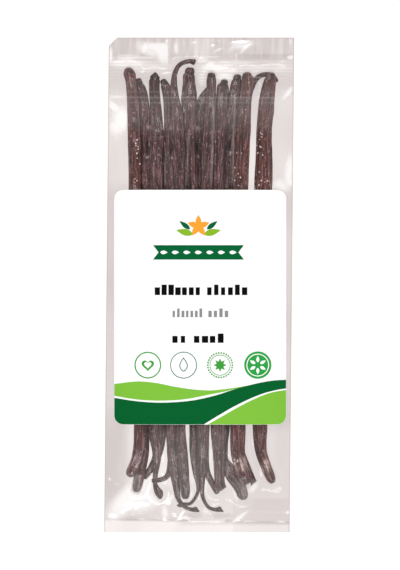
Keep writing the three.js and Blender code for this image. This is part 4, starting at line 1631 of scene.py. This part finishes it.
def dotted_ring_tree():
    """Round dots evenly along a circle."""
    tree, given = nodes_tree("dotted_ring", "Count", "Material", "Radius", "Dot", "Thickness")
    ring = add_node(
        tree, "GeometryNodeMeshCircle", "Mesh",
        {"Vertices": given["Count"], "Radius": given["Radius"]},
    )
    dot = add_node(
        tree, "GeometryNodeMeshCylinder", "Mesh",
        {"Vertices": 12, "Radius": given["Dot"], "Depth": given["Thickness"]},
    )
    dots = add_node(
        tree, "GeometryNodeInstanceOnPoints", "Instances", {"Points": ring, "Instance": dot}
    )
    close_tree(tree, dots, given["Material"])
    return tree


class PrintMotifs(bpy.types.Operator):
    """Prints the blossom, the banner, the mock lines of text and the badges"""

    bl_idname = "packet.print_motifs"
    bl_label = "Print motifs"

    def execute(self, context):
        inks = {
            name: coated_paper(name, hex_colour(code)[:3], INK_GLOSS)
            for name, code in (
                ("orange_print", "#F2A233"), ("leaf_green_print", "#86B52A"),
                ("banner_green_print", "#056033"), ("black_print", "#0B0B0B"),
                ("grey_print", "#8C8C8C"), ("badge_green_print", "#3E9C3C"),
                ("badge_teal_print", "#1F6A58"), ("disc_green_print", "#2C9F45"),
            )
        }
        petals, pale, dark, banner = emblem_outlines()
        hearted, drop, starred, disc = badge_outlines()
        for name, outlines, ink in (
            ("print_dark_leaves", dark, "banner_green_print"),
            ("print_pale_leaves", pale, "leaf_green_print"),
            ("print_banner", banner, "banner_green_print"),
            ("print_heart_badge", hearted, "badge_green_print"),
            ("print_drop_badge", drop, "badge_teal_print"),
            ("print_star_badge", starred, "badge_green_print"),
            ("print_flower_badge", disc, "disc_green_print"),
        ):
            finish_piece(slab(name, outlines, 0, INK, inks[ink]))
        for number, petal in enumerate(petals):
            low = INK * (number + 1) / 8
            piece = slab(f"print_petal_{number + 1}", [petal], 0, INK + low, inks["orange_print"])
            finish_piece(piece)

        words = mock_word_tree()
        for seed, (name, left, foot, pitch, count, width, height, ink) in enumerate(MOCK_WORDS):
            values = {
                "Count": count, "Pitch": pitch, "Width": width, "Height": height,
                "Thickness": INK, "Seed": seed, "Material": inks[ink],
            }
            mesh = grown_mesh(words, values)
            bend_onto_label(mesh, left, foot, 0)
            finish_piece(link_mesh(f"print_{name}", mesh))
        dots = grown_mesh(
            dotted_ring_tree(),
            {"Count": BADGE_DOTS, "Radius": BADGE_RADIUS - 0.45, "Dot": 0.36, "Thickness": INK,
             "Material": inks["badge_green_print"]},
        )
        bend_onto_label(dots, BADGE_PLACES[2], BADGE_HEIGHT, INK / 2)
        finish_piece(link_mesh("print_dotted_ring", dots))
        return {"FINISHED"}


# ---- Stage ----
# Soft lights as name, azimuth and height in degrees, distance, width, length, brightness.
LIGHTS = (
    ("softbox_top", 90, 62, 1.0, 0.45, 0.36, 5.5),
    ("softbox_foot", 270, 62, 1.0, 0.45, 0.36, 5.5),
)
TABLE_REACH = 8000
TABLE_HEIGHT = -0.1
# Place under the camera.
AIM = (0.32, -0.04)


def white_table():
    """Opal acrylic top of a light table: plain, matt, and lit evenly from below."""
    material, tree = new_material("opal_acrylic_table")
    table = add_node(
        tree, "ShaderNodeBsdfPrincipled", "BSDF",
        {"Base Color": hex_colour("#8A8A8A"), "Roughness": 0.8, "Specular IOR Level": 0.0,
         "Emission Color": (1.0, 1.0, 1.0, 1.0), "Emission Strength": 0.85},
    )
    add_node(tree, "ShaderNodeOutputMaterial", inputs={"Surface": table})
    return material


def place_light(name, azimuth, height, distance, width, length, brightness):
    """A rectangular light turned to the packet; brightness is its radiance."""
    lamp = bpy.data.lights.new(name, "AREA")
    lamp.shape = "RECTANGLE"
    lamp.size, lamp.size_y = width, length
    lamp.energy = brightness * math.pi * width * length
    light = bpy.data.objects.new(name, lamp)
    turn, rise = math.radians(azimuth), math.radians(height)
    level = math.cos(rise)
    away = Vector((math.cos(turn) * level, math.sin(turn) * level, math.sin(rise)))
    light.location = away * distance
    light.rotation_euler = away.to_track_quat("Z", "Y").to_euler()
    light.visible_camera = False
    bpy.context.scene.collection.objects.link(light)


def surroundings(settings):
    """Even light all round, brighter near the horizon."""
    world = bpy.data.worlds.new("studio")
    world.use_nodes = True
    tree = world.node_tree
    tree.nodes.clear()
    direction = add_node(tree, "ShaderNodeTexCoord", "Generated")
    up = add_node(tree, "ShaderNodeSeparateXYZ", "Z", {"Vector": direction})
    strength = add_node(
        tree, "ShaderNodeMapRange", "Result",
        {"Value": up, "From Min": 0.7, "From Max": 0.92, "To Min": settings.horizon,
         "To Max": settings.zenith},
    )
    sky = add_node(
        tree, "ShaderNodeBackground", "Background",
        {"Color": (1.0, 1.0, 1.0, 1.0), "Strength": strength},
    )
    add_node(tree, "ShaderNodeOutputWorld", inputs={"Surface": sky})
    bpy.context.scene.world = world


class SetStage(bpy.types.Operator):
    """Sets the table, the lights and a camera that looks straight down"""

    bl_idname = "packet.set_stage"
    bl_label = "Set stage"

    def execute(self, context):
        settings = context.scene.vanilla_packet.stage
        corners = [
            (x * TABLE_REACH, y * TABLE_REACH, TABLE_HEIGHT)
            for x, y in ((-1, -1), (1, -1), (1, 1), (-1, 1))
        ]
        smooth_object("table", corners, [(0, 1, 2, 3)], [white_table()])
        surroundings(settings)
        for light in LIGHTS:
            place_light(*light)

        lens = bpy.data.cameras.new("camera")
        lens.sensor_width = 36
        lens.lens = lens.sensor_width * settings.camera_height / settings.view_length
        camera = bpy.data.objects.new("camera", lens)
        camera.location = (AIM[0] * MM, AIM[1] * MM, settings.camera_height)
        context.scene.collection.objects.link(camera)
        context.scene.camera = camera
        context.scene.view_settings.view_transform = "Standard"
        return {"FINISHED"}


class PacketPanel(bpy.types.Panel):
    """Sizes and steps of the packet"""

    bl_idname = "VIEW3D_PT_vanilla_packet"
    bl_label = "Vanilla Pod Packet"
    bl_space_type = "VIEW_3D"
    bl_region_type = "UI"
    bl_category = "Packet"

    def draw(self, context):
        packet = context.scene.vanilla_packet
        for group in (packet.pods, packet.film, packet.label, packet.stage):
            box = self.layout.box()
            for name in group.__annotations__:
                box.prop(group, name)
        for operator in OPERATORS:
            self.layout.operator(operator.bl_idname)


OPERATORS = (LayPods, BeadSkin, DrapeFilm, CutLabel, PrintFields, PrintMotifs, SetStage)
CLASSES = (
    PodSettings, FilmSettings, LabelSettings, StageSettings, PacketSettings, *OPERATORS,
    PacketPanel,
)


def register():
    for cls in CLASSES:
        bpy.utils.register_class(cls)
    bpy.types.Scene.vanilla_packet = PointerProperty(type=PacketSettings)


def unregister():
    del bpy.types.Scene.vanilla_packet
    for cls in reversed(CLASSES):
        bpy.utils.unregister_class(cls)


def main():
    register()
    bpy.ops.packet.lay_pods()
    bpy.ops.packet.bead_skin()
    bpy.ops.packet.drape_film()
    bpy.ops.packet.cut_label()
    bpy.ops.packet.print_fields()
    bpy.ops.packet.print_motifs()
    bpy.ops.packet.set_stage()


if __name__ == "__main__":
    main()
